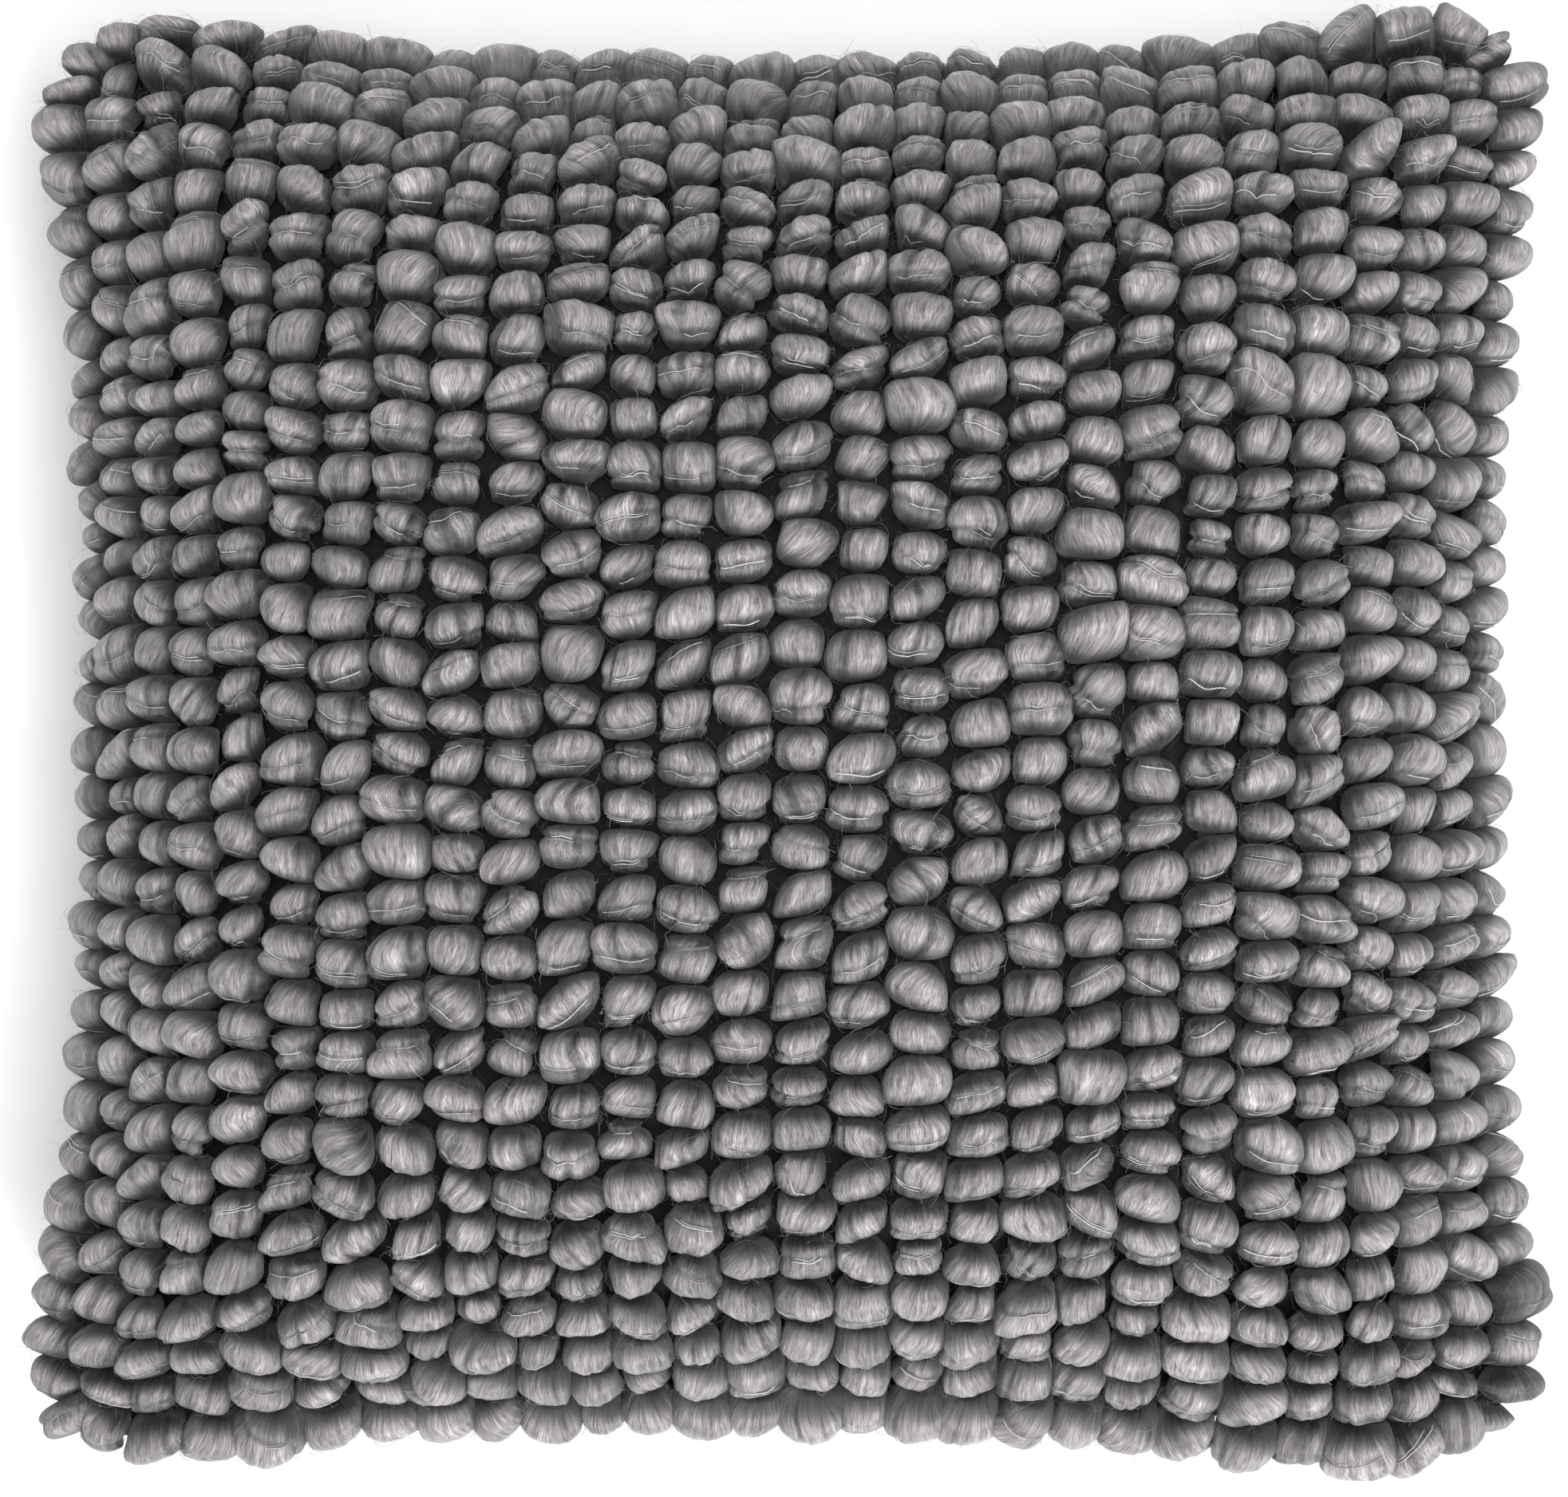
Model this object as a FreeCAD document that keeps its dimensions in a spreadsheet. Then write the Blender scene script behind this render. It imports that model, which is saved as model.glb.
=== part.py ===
"""Square throw pillow with a front of woven loops, in millimetres.

The pillow lies on its back: +Z is up through the looped front, +Y runs along the
columns of loops towards the top edge, and the zip is in the seam of the -Y edge.
The origin is the centre of the patch that the back rests on.

Cover: a front ground cloth with one roving per column of loops, binder threads
that tie the rovings down between the loops, a plain back panel, and a coil zip.
Insert: a two-piece casing with a fibre filling.
"""
import FreeCAD, Part
import math
import os
from FreeCAD import Base
import Sketcher

vector = Base.Vector

# Every driving dimension: alias, value in millimetres or degrees, and meaning.
DIMENSIONS = [
    ("corner_across", 241, "seam corner, from the middle, across the loops' columns"),
    ("corner_along", 235, "seam corner, from the middle, along the loops' columns"),
    ("pull_across", 13.5, "how far the middle of a left or right seam is pulled in"),
    ("pull_along", 15.5, "how far the middle of a top or bottom seam is pulled in"),
    ("seam_height", 62, "height of the seam over the surface under the pillow"),
    ("front_crown", 88, "rise of the front ground cloth over the seam"),
    ("rest_press", 3, "depth by which the back's crown is pressed flat"),
    ("edge_angle", 66, "slope of a panel where it meets the middle of a seam"),
    ("bend_power", 2.3, "how late the slope grows from the crown to the seam"),
    ("seam_gap", 0.2, "from the seam plane to each panel's edge"),
    ("cloth_thick", 1.2, "ground cloth and back panel"),
    ("column_count", 28, "columns of loops"),
    ("loop_count", 32, "loops in each column"),
    ("column_fill", 0.97, "share of a column's pitch that its roving takes"),
    ("loop_reach", 0.975, "share of the panel's half length that the loops cover"),
    ("roving_base", 1.6, "from the ground cloth to the underside of a roving"),
    ("roving_shoulder", 6, "height of a roving's two sides over the ground cloth"),
    ("loop_rise", 13, "height of a loop over the ground cloth"),
    ("binder_wide", 0.9, "binder thread, along the columns"),
    ("binder_thick", 0.6, "binder thread, off the cloth"),
    ("binder_lift", 0.6, "from the ground cloth to the underside of a binder thread"),
    ("insert_inset", 12, "insert's seam inside the cover's seam"),
    ("insert_ease", 2.4, "insert's crown inside the cover's crown"),
    ("casing_thick", 0.8, "insert's casing"),
    ("fill_ease", 1.2, "filling's crown inside the insert's crown"),
    ("fill_inset", 4, "filling's edge inside the insert's seam"),
    ("thread_radius", 0.6, "sewing thread of the seams, as one run"),
    ("thread_inset", 5, "run of sewing thread inside the seam"),
    ("thread_angle_across", 5.81, "half of a left or right run, from its bend's centre"),
    ("thread_angle_along", 6.5, "half of a top or bottom run, from its bend's centre"),
    ("thread_end_angle", 0.45, "half of each short run beside the zip"),
    ("insert_thread_inset", 1.8, "insert's run of thread inside the insert's seam"),
    ("insert_thread_share", 0.92, "insert's runs, as a share of the cover's"),
    ("zip_bend", 1873.6, "radius of the seam that the zip follows, corner_across^2 / (2 pull_along)"),
    ("zip_half_angle", 5.2, "half of the zip's coil, seen from the centre of its bend"),
    ("slot_half_angle", 5.32, "half of the slot in the seam"),
    ("tape_half_angle", 5.36, "half of the zip's tapes"),
    ("slot_half_high", 3.8, "half of the slot's height"),
    ("row_gap_half", 0.5, "half of the gap between the zip's two sides"),
    ("coil_high", 1.8, "one row of coil, across the zip"),
    ("coil_deep", 2.0, "one row of coil, through the zip"),
    ("coil_face", 1.3, "coil's outer face, inside the seam line"),
    ("tape_face", 3.6, "tape's outer face, inside the seam line"),
    ("tape_thick", 0.6, "zip tape"),
    ("tape_flat_high", 2.1, "height at which a tape bends to follow its panel"),
    ("tape_high", 7, "height of a tape's outer edge"),
    ("tape_run", 9.5, "how far a tape runs inward between those two heights"),
    ("slider_half_high", 3.2, "half of the slider's width, across the zip"),
    ("slider_long", 9, "slider, along the zip"),
    ("slider_gap", 0.4, "clearance between the slider and the coil or tape"),
    ("plate_thick", 1.2, "each of the slider's two plates"),
    ("flange_thick", 0.6, "slider's side flanges"),
    ("flange_deep", 2.2, "slider's side flanges, inward from the outer plate"),
    ("back_plate_half_high", 1.9, "half of the back plate's width, between the tapes"),
    ("web_thick", 0.4, "slider's web between the coil's rows"),
    ("web_long", 4, "slider's web, along the zip"),
    ("bridge_long", 4.4, "slider's bridge, along the zip"),
    ("bridge_out", 2.8, "slider's bridge, outward from the plate"),
    ("bridge_half_high", 0.9, "half of the bridge's width"),
    ("pivot_out", 1.5, "pull's pivot, outward from the slider's plate"),
    ("pivot_hole_radius", 0.8, "hole through the slider's bridge"),
    ("pivot_bar_radius", 0.55, "bar of the pull that turns in the bridge"),
    ("pull_long", 24, "zip pull, pivot to tip"),
    ("pull_half_high", 2.6, "half of the zip pull's width"),
    ("pull_thick", 1.1, "zip pull"),
    ("pull_window_long", 3.2, "window that lets the pull turn round the bridge, from the pivot"),
    ("pull_window_half_high", 1.3, "half of that window's width"),
    ("pull_tip_radius", 1.6, "rounding of the pull's tip"),
    ("rest_angle", 5.065, "slider at rest, from the middle of the zip"),
    ("stop_long", 2.4, "each stop, along the zip"),
    ("stop_angle", 5.255, "each stop, from the middle of the zip"),
    ("stop_deep", 2.3, "from the coil's outer face to the tape"),
    ("stop_ease", 0.1, "from a stop to the tape"),
    ("stop_half_high", 3.1, "each stop's far edge, from the seam plane"),
    ("label_long", 36, "care label, along the seam"),
    ("label_high", 12, "care label, across the seam"),
    ("label_thick", 0.3, "care label"),
    ("label_inset", 8.5, "care label, inside the seam line"),
    ("label_from_middle", 60, "care label's centre, from the middle of the left edge"),
]

doc = FreeCAD.newDocument("throw_pillow")
dims = doc.addObject("Spreadsheet::Sheet", "dims")
for row, (alias, number, meaning) in enumerate(DIMENSIONS, 1):
    dims.set("A%d" % row, meaning)
    dims.set("B%d" % row, str(number))
    dims.setAlias("B%d" % row, alias)
doc.recompute()

nodes = []


def size(alias):
    """The sheet's value of one driving dimension."""
    return float(dims.get(alias))


def keep(sub_part):
    """Count an object among the sub-parts; its Label names its file."""
    nodes.append(sub_part)
    return sub_part


def free_form(label, shape):
    """A sub-part whose shape no sketch or primitive can give."""
    feature = doc.addObject("Part::Feature", label)
    feature.Label = label
    feature.Shape = shape
    feature.Placement = FreeCAD.Placement()
    return keep(feature)


# ---------------------------------------------------------------- panel surfaces
# A panel is a square of cloth with u across the columns and v along them, both from
# -1 to 1. Its slope grows from 0 at the crown to edge_angle at the seam, so equal
# steps of u or v are equal lengths of cloth, drawn closer together in plan.

PROFILE_STEPS = 400    # steps from the crown to the seam
SAMPLES = 15           # points along each side of a panel
STRIP_SAMPLES = 7      # points across one roving
NORMAL_STEP = 0.002    # step on the cloth over which a slope is measured
TINY = 0.01            # a volume or a length that counts as nothing


def running_sums(values):
    """Sums of a list of equal steps, starting at 0 and ending at 1."""
    sums = [0.0]
    for value in values:
        sums.append(sums[-1] + value)
    return [total / sums[-1] for total in sums]


def profile_slopes():
    """Slope of the profile at the middle of each step from crown to seam."""
    steep = math.radians(size("edge_angle"))
    power = size("bend_power")
    return [steep * ((step + 0.5) / PROFILE_STEPS) ** power for step in range(PROFILE_STEPS)]


PLAN_SUMS = running_sums([math.cos(slope) for slope in profile_slopes()])
DROP_SUMS = running_sums([math.sin(slope) for slope in profile_slopes()])


def look_up(sums, place):
    """Value of a running sum at a place from 0 to 1."""
    step = min(int(place * PROFILE_STEPS), PROFILE_STEPS - 1)
    share = place * PROFILE_STEPS - step
    return sums[step] + (sums[step + 1] - sums[step]) * share


def plan_share(place):
    """Plan distance from the middle for a place on the cloth, both from -1 to 1."""
    return math.copysign(look_up(PLAN_SUMS, abs(place)), place)


def rise_share(place):
    """Share of the crown's rise that is left at a place on the cloth."""
    return 1.0 - look_up(DROP_SUMS, abs(place))


class Panel:
    """One crowned square of cloth. A negative crown makes it hang below the seam."""

    def __init__(self, inset, crown, seam_z):
        self.across = size("corner_across") - inset
        self.along = size("corner_along") - inset
        self.crown = crown
        self.seam_z = seam_z

    def point(self, u, v):
        """Place in space of one place on the cloth."""
        across = plan_share(u) + (u - plan_share(u)) * v * v
        along = plan_share(v) + (v - plan_share(v)) * u * u
        x = across * (self.across - size("pull_across") * (1 - along * along))
        y = along * (self.along - size("pull_along") * (1 - across * across))
        z = self.seam_z + self.crown * rise_share(u) * rise_share(v)
        return vector(x, y, z)

    def normal(self, u, v):
        """Unit normal, pointing away from the pillow's middle."""
        u_low, u_high = max(u - NORMAL_STEP, -1), min(u + NORMAL_STEP, 1)
        v_low, v_high = max(v - NORMAL_STEP, -1), min(v + NORMAL_STEP, 1)
        along_u = self.point(u_high, v) - self.point(u_low, v)
        along_v = self.point(u, v_high) - self.point(u, v_low)
        normal = along_u.cross(along_v)
        normal.normalize()
        return normal * math.copysign(1, self.crown)

    def lifted(self, u, v, lift):
        """Place at a height over the cloth."""
        return self.point(u, v) + self.normal(u, v) * lift


def spread(low, high, count):
    """Evenly spaced numbers, both ends included."""
    return [low + (high - low) * step / (count - 1) for step in range(count)]


def surface_through(grid):
    """Smooth surface through a grid of points."""
    surface = Part.BSplineSurface()
    surface.interpolate(grid)
    return surface


def border(surface):
    """The four edges of a surface, in a fixed order."""
    u_low, u_high, v_low, v_high = surface.bounds()
    curves = [surface.uIso(u_low), surface.uIso(u_high), surface.vIso(v_low), surface.vIso(v_high)]
    return [curve.toShape() for curve in curves]


def closed_solid(faces):
    """Sew faces into one solid with a positive volume."""
    sewn = Part.makeCompound(faces)
    sewn.sewShape()
    shell = sewn.Shells[0] if sewn.Shells else Part.Shell(sewn.Faces)
    solid = Part.makeSolid(shell)
    if solid.Volume < 0:
        solid.reverse()
    return solid


def slab_between(grid_out, grid_in):
    """Solid between two surfaces, closed with straight walls round the border."""
    outer = surface_through(grid_out)
    inner = surface_through(grid_in)
    walls = [Part.makeRuledSurface(a, b) for a, b in zip(border(outer), border(inner))]
    return closed_solid([outer.toShape(), inner.toShape()] + walls)


def panel_grid(panel):
    """Points over a whole panel."""
    places = spread(-1, 1, SAMPLES)
    return [[panel.point(u, v) for v in places] for u in places]


def dome(panel):
    """Solid between a panel and its own seam plane."""
    surface = surface_through(panel_grid(panel))
    outline = Part.Wire(Part.__sortEdges__(border(surface)))
    return closed_solid([surface.toShape(), Part.Face(outline)])


def resting_panel(outer, inner, floor_z, thick):
    """Cloth between two hanging panels, with the crown pressed flat at floor_z."""
    wide = 4 * size("corner_across")
    deep = 2 * size("seam_height")
    corner = vector(-wide / 2, -wide / 2, floor_z - deep)
    below_outside = Part.makeBox(wide, wide, deep, corner)
    below_inside = Part.makeBox(wide, wide, deep + thick, corner)
    hollow = dome(inner).cut(below_inside)
    return dome(outer).cut(below_outside).cut(hollow)


# ---------------------------------------------------------------- the cover's cloth
seam_z = size("seam_height")
front_panel = Panel(0, size("front_crown"), seam_z + size("seam_gap"))
back_panel = Panel(0, -(seam_z + size("rest_press")), seam_z - size("seam_gap"))


def lined(panel, thick):
    """The same panel, moved inward by the cloth's thickness."""
    inset = size("corner_across") - panel.across + thick
    crown = panel.crown - math.copysign(thick, panel.crown)
    return Panel(inset, crown, panel.seam_z)


def arc_band(half_angle, profile):
    """Solid swept round the zip's bend from a profile of (inward, height) points."""
    bend = size("zip_bend")
    middle = vector(0, -(size("corner_along") - size("pull_along")) - bend, seam_z)
    corners = [vector(bend + inward, 0, height) for inward, height in profile]
    section = Part.Face(Part.makePolygon(corners + corners[:1]))
    band = section.revolve(vector(0, 0, 0), vector(0, 0, 1), 2 * half_angle)
    band.rotate(vector(0, 0, 0), vector(0, 0, 1), 90 - half_angle)
    band.translate(middle)
    return band


def zip_slot():
    """Opening that the zip takes out of both panels along the bottom seam."""
    high = size("slot_half_high")
    cut_deep = 2 * high
    outline = [(-high, -high), (cut_deep, -high), (cut_deep, high), (-high, high)]
    return arc_band(size("slot_half_angle"), outline)


def cover_cloths():
    """Ground cloth of the front and the plain back, open along the zip."""
    slot = zip_slot()
    thick = size("cloth_thick")
    front = slab_between(panel_grid(front_panel), panel_grid(lined(front_panel, thick)))
    free_form("front_ground_cloth", front.cut(slot).Solids[0])
    back = resting_panel(back_panel, lined(back_panel, thick), 0, thick)
    free_form("back_panel", back.cut(slot).Solids[0])


# ---------------------------------------------------------------- loops and binders
def loop_column(index):
    """One roving, as a round-backed strip of the height of its loops."""
    pitch = 2 / size("column_count")
    middle = -1 + pitch * (index + 0.5)
    half = pitch * size("column_fill") / 2
    reach = size("loop_reach")
    shoulder = size("roving_shoulder")
    outer = []
    inner = []
    for side in spread(-1, 1, STRIP_SAMPLES):
        u = middle + half * side
        height = shoulder + (size("loop_rise") - shoulder) * math.sqrt(1 - side * side)
        places = spread(-reach, reach, SAMPLES)
        outer.append([front_panel.lifted(u, v, height) for v in places])
        inner.append([front_panel.lifted(u, v, size("roving_base")) for v in places])
    return slab_between(outer, inner)


def loop_columns():
    """All the rovings, each in a node of its own."""
    for index in range(int(size("column_count"))):
        free_form("front_roving_%02d" % (index + 1), loop_column(index))


def binder_threads():
    """Flat threads across the columns, one between every two rows of loops."""
    reach = size("loop_reach")
    rows = int(size("loop_count"))
    half = size("binder_wide") / 2 / size("corner_along")
    low = size("binder_lift")
    high = low + size("binder_thick")
    places = spread(-reach, reach, SAMPLES)
    threads = []
    for row in range(1, rows):
        middle = -reach + 2 * reach * row / rows
        edges = (middle - half, middle + half)
        top = [[front_panel.lifted(u, v, high) for v in edges] for u in places]
        bottom = [[front_panel.lifted(u, v, low) for v in edges] for u in places]
        threads.append(slab_between(top, bottom))
    free_form("binder_threads", Part.makeCompound(threads))


# ---------------------------------------------------------------- insert
def insert_pieces():
    """Two-piece casing and the fibre filling that it holds."""
    gap = size("seam_gap")
    ease = size("insert_ease")
    inset = size("insert_inset")
    casing = size("casing_thick")
    front_outer = Panel(inset, size("front_crown") - ease, seam_z + gap)
    front_inner = lined(front_outer, casing)
    free_form("insert_front_casing", slab_between(panel_grid(front_outer), panel_grid(front_inner)))
    drop = seam_z + size("rest_press") - ease
    back_outer = Panel(inset, -drop, seam_z - gap)
    floor_z = size("cloth_thick") + ease / 2
    back_casing = resting_panel(back_outer, lined(back_outer, casing), floor_z, casing)
    free_form("insert_back_casing", back_casing.Solids[0])

    fill_in = inset + size("fill_inset")
    crown = size("front_crown") - ease - size("fill_ease")
    front_half = Panel(fill_in, crown, seam_z + gap)
    back_half = Panel(fill_in, -(drop - size("fill_ease")), seam_z - gap)
    cushion = slab_between(panel_grid(front_half), panel_grid(back_half))
    wide = 4 * size("corner_across")
    fill_floor = floor_z + size("fill_ease")
    below = Part.makeBox(wide, wide, wide, vector(-wide / 2, -wide / 2, fill_floor - wide))
    free_form("insert_filling", cushion.cut(below).Solids[0])


# ---------------------------------------------------------------- sewing
def seam_run(name, side, inset, half_angle, middle_angle=0):
    """A run of thread along one concave side, as part of a large thin ring."""
    turn = {"right": 0, "top": 90, "left": 180, "bottom": 270}[side]
    if side in ("left", "right"):
        reach, half_chord, pull = "corner_across", "corner_along", "pull_across"
    else:
        reach, half_chord, pull = "corner_along", "corner_across", "pull_along"
    ring = doc.addObject("Part::Torus", name)
    bend = "(dims.%s ^ 2 / (2 * dims.%s))" % (half_chord, pull)
    ring.setExpression("Radius1", "%s + %s" % (bend, inset))
    ring.setExpression("Radius2", "dims.thread_radius")
    ring.Angle3 = 2 * half_angle
    outward = FreeCAD.Rotation(vector(0, 0, 1), turn)
    start = FreeCAD.Rotation(vector(0, 0, 1), turn + 180 + middle_angle - half_angle)
    far = size(reach) - size(pull) + size(half_chord) ** 2 / (2 * size(pull))
    centre = outward.multVec(vector(far, 0, 0)) + vector(0, 0, seam_z)
    ring.Placement = FreeCAD.Placement(centre, start)
    return ring


def sewn_group(label, runs):
    """One node that holds several runs of the same thread."""
    group = doc.addObject("Part::Compound", label)
    group.Label = label
    group.Links = runs
    keep(group)


def seam_threads():
    """Thread of the cover's seam, which the zip interrupts, and of the insert's."""
    across = size("thread_angle_across")
    along = size("thread_angle_along")
    inset = "dims.thread_inset"
    end = size("thread_end_angle")
    end_middle = along - end
    cover = [
        seam_run("cover_thread_right", "right", inset, across),
        seam_run("cover_thread_left", "left", inset, across),
        seam_run("cover_thread_top", "top", inset, along),
        seam_run("cover_thread_start", "bottom", inset, end, -end_middle),
        seam_run("cover_thread_end", "bottom", inset, end, end_middle),
    ]
    sewn_group("cover_seam_thread", cover)
    deeper = "dims.insert_inset + dims.insert_thread_inset"
    shorter = size("insert_thread_share")
    insert = []
    for side, half_angle in (("right", across), ("left", across), ("top", along), ("bottom", along)):
        insert.append(seam_run("insert_thread_" + side, side, deeper, half_angle * shorter))
    sewn_group("insert_seam_thread", insert)


# ---------------------------------------------------------------- zip
# Each piece of the zip is drawn in a frame whose origin is the centre of the seam's
# bend: local X is the distance from that centre, which grows inward, and local Z is
# the height over the seam.

ZIP_CENTRE = vector(0, size("pull_along") - size("corner_along") - size("zip_bend"), seam_z)


def origin_plane(body, role):
    """One of a body's own origin planes."""
    return next(item for item in body.Origin.OriginFeatures if item.Role == role)


def zip_body(label, angle):
    """A body in the zip's frame, turned to an angle from the middle of the edge."""
    body = doc.addObject("PartDesign::Body", label)
    body.Label = label
    turned = FreeCAD.Rotation(vector(0, 0, 1), 90 - angle)
    body.Placement = FreeCAD.Placement(ZIP_CENTRE, turned)
    return body


def new_sketch(body, name, role):
    """An empty sketch on one of the body's origin planes."""
    sketch = body.newObject("Sketcher::SketchObject", name)
    sketch.AttachmentSupport = [(origin_plane(body, role), "")]
    sketch.MapMode = "FlatFace"
    return sketch


def bind_point(sketch, index, corner):
    """Hold the start of one line at coordinates given as formulas of the sheet."""
    for kind, formula in zip(("DistanceX", "DistanceY"), corner):
        number = float(dims.evalExpression(formula))
        place = sketch.addConstraint(Sketcher.Constraint(kind, -1, 1, index, 1, number))
        sketch.setExpression("Constraints[%d]" % place, formula)


def polygon_sketch(body, name, role, corners):
    """Closed outline through corners given as pairs of formulas."""
    sketch = new_sketch(body, name, role)
    points = []
    for corner in corners:
        across, up = [float(dims.evalExpression(formula)) for formula in corner]
        points.append(vector(across, up, 0))
    count = len(points)
    for index in range(count):
        line = Part.LineSegment(points[index], points[(index + 1) % count])
        sketch.addGeometry(line)
    for index in range(count):
        ahead = (index + 1) % count
        sketch.addConstraint(Sketcher.Constraint("Coincident", index, 2, ahead, 1))
    for index, corner in enumerate(corners):
        bind_point(sketch, index, corner)
    return sketch


def box_outline(low, high):
    """Corners of an upright rectangle between two corners of formulas."""
    return [(low[0], low[1]), (high[0], low[1]), (high[0], high[1]), (low[0], high[1])]


def swept(body, sketch, half_angle):
    """Turn a profile about the centre of the bend, the same way on both sides."""
    sketch.Visibility = False
    revolution = body.newObject("PartDesign::Revolution", sketch.Name + "_sweep")
    revolution.Profile = sketch
    revolution.ReferenceAxis = (sketch, ["V_Axis"])
    revolution.Midplane = True
    revolution.setExpression("Angle", "2 * dims." + half_angle)
    return revolution


def padded(body, sketch, length):
    """Pad a profile by the same length on both sides of its plane."""
    pad = body.newObject("PartDesign::Pad", sketch.Name + "_pad")
    pad.Profile = sketch
    pad.Midplane = True
    pad.setExpression("Length", length)
    return pad


def pocketed(body, sketch, length):
    """Pocket a profile on both sides of its plane, checking that it cuts."""
    doc.recompute()
    before = body.Shape.Volume
    pocket = body.newObject("PartDesign::Pocket", sketch.Name + "_cut")
    pocket.Profile = sketch
    pocket.Midplane = True
    pocket.setExpression("Length", length)
    doc.recompute()
    if body.Shape.Volume > before - TINY:
        raise RuntimeError(sketch.Name + " cuts nothing")
    return pocket


def inward(formula):
    """Local X of a place given by its distance inside the seam line."""
    return "dims.zip_bend + (%s)" % formula


def zip_sides():
    """Tape and coil of the front side, and the same of the back side."""
    face = "dims.tape_face"
    behind = "dims.tape_face + dims.tape_thick"
    run = " + dims.tape_run"
    for side, sign in (("front", ""), ("back", "-")):
        near, bend, edge = [sign + "dims." + name for name in ("row_gap_half", "tape_flat_high", "tape_high")]
        tape = zip_body("zip_tape_" + side, 0)
        outline = [
            (inward(face), near),
            (inward(face), bend),
            (inward(face + run), edge),
            (inward(behind + run), edge),
            (inward(behind), bend),
            (inward(behind), near),
        ]
        swept(tape, polygon_sketch(tape, "tape_profile_" + side, "XZ_Plane", outline), "tape_half_angle")
        keep(tape)
        coil = zip_body("zip_coil_" + side, 0)
        top = sign + "(dims.row_gap_half + dims.coil_high)"
        outline = box_outline(
            (inward("dims.coil_face"), near),
            (inward("dims.coil_face + dims.coil_deep"), top),
        )
        swept(coil, polygon_sketch(coil, "coil_profile_" + side, "XZ_Plane", outline), "zip_half_angle")
        keep(coil)


def zip_stops():
    """Two top stops, one on each side, and the bottom stop that joins both sides."""
    low = inward("dims.coil_face")
    high = inward("dims.coil_face + dims.stop_deep - dims.stop_ease")
    edge = "dims.stop_half_high"
    near = "dims.row_gap_half"
    for name, angle, rows in (
        ("zip_top_stop_front", 1, (near, edge)),
        ("zip_top_stop_back", 1, ("-" + edge, "-" + near)),
        ("zip_bottom_stop", -1, ("-" + edge, edge)),
    ):
        stop = zip_body(name, angle * size("stop_angle"))
        outline = box_outline((low, rows[0]), (high, rows[1]))
        padded(stop, polygon_sketch(stop, name + "_profile", "XZ_Plane", outline), "dims.stop_long")
        keep(stop)


def zip_slider():
    """Slider: two plates joined by a web, flanges round the coil, and a bridge."""
    slider = zip_body("zip_slider", size("rest_angle"))
    edge = "dims.slider_half_high"
    plate_in = "dims.coil_face - dims.slider_gap"
    plate_out = plate_in + " - dims.plate_thick"
    back_out = "dims.tape_face + dims.tape_thick + dims.slider_gap"
    back_in = back_out + " + dims.plate_thick"
    flange_in = plate_in + " + dims.flange_deep"
    guide = "dims.slider_half_high - dims.flange_thick"
    channel = [
        (inward(plate_out), "-" + edge),
        (inward(flange_in), "-" + edge),
        (inward(flange_in), "-(" + guide + ")"),
        (inward(plate_in), "-(" + guide + ")"),
        (inward(plate_in), guide),
        (inward(flange_in), guide),
        (inward(flange_in), edge),
        (inward(plate_out), edge),
    ]
    padded(slider, polygon_sketch(slider, "slider_channel", "XZ_Plane", channel), "dims.slider_long")
    web = box_outline(
        (inward(plate_in + " - dims.plate_thick / 2"), "-dims.web_thick / 2"),
        (inward(back_in + " - dims.plate_thick / 2"), "dims.web_thick / 2"),
    )
    padded(slider, polygon_sketch(slider, "slider_web", "XZ_Plane", web), "dims.web_long")
    narrow = "dims.back_plate_half_high"
    plate = box_outline((inward(back_out), "-" + narrow), (inward(back_in), narrow))
    padded(slider, polygon_sketch(slider, "slider_back_plate", "XZ_Plane", plate), "dims.slider_long")
    bridge = box_outline(
        (inward(plate_out + " - dims.bridge_out"), "-dims.bridge_half_high"),
        (inward(plate_out + " + dims.plate_thick / 2"), "dims.bridge_half_high"),
    )
    padded(slider, polygon_sketch(slider, "slider_bridge", "XZ_Plane", bridge), "dims.bridge_long")
    pivot = inward(plate_out + " - dims.pivot_out")
    hole = new_sketch(slider, "slider_pivot_hole", "XY_Plane")
    number = float(dims.evalExpression(pivot))
    hole.addGeometry(Part.Circle(vector(number, 0, 0), vector(0, 0, 1), size("pivot_hole_radius")))
    hole.addConstraint(Sketcher.Constraint("PointOnObject", 0, 3, -1))
    place = hole.addConstraint(Sketcher.Constraint("DistanceX", -1, 1, 0, 3, number))
    hole.setExpression("Constraints[%d]" % place, pivot)
    place = hole.addConstraint(Sketcher.Constraint("Radius", 0, size("pivot_hole_radius")))
    hole.setExpression("Constraints[%d]" % place, "dims.pivot_hole_radius")
    pocketed(slider, hole, "4 * dims.bridge_half_high")
    keep(slider)


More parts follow.
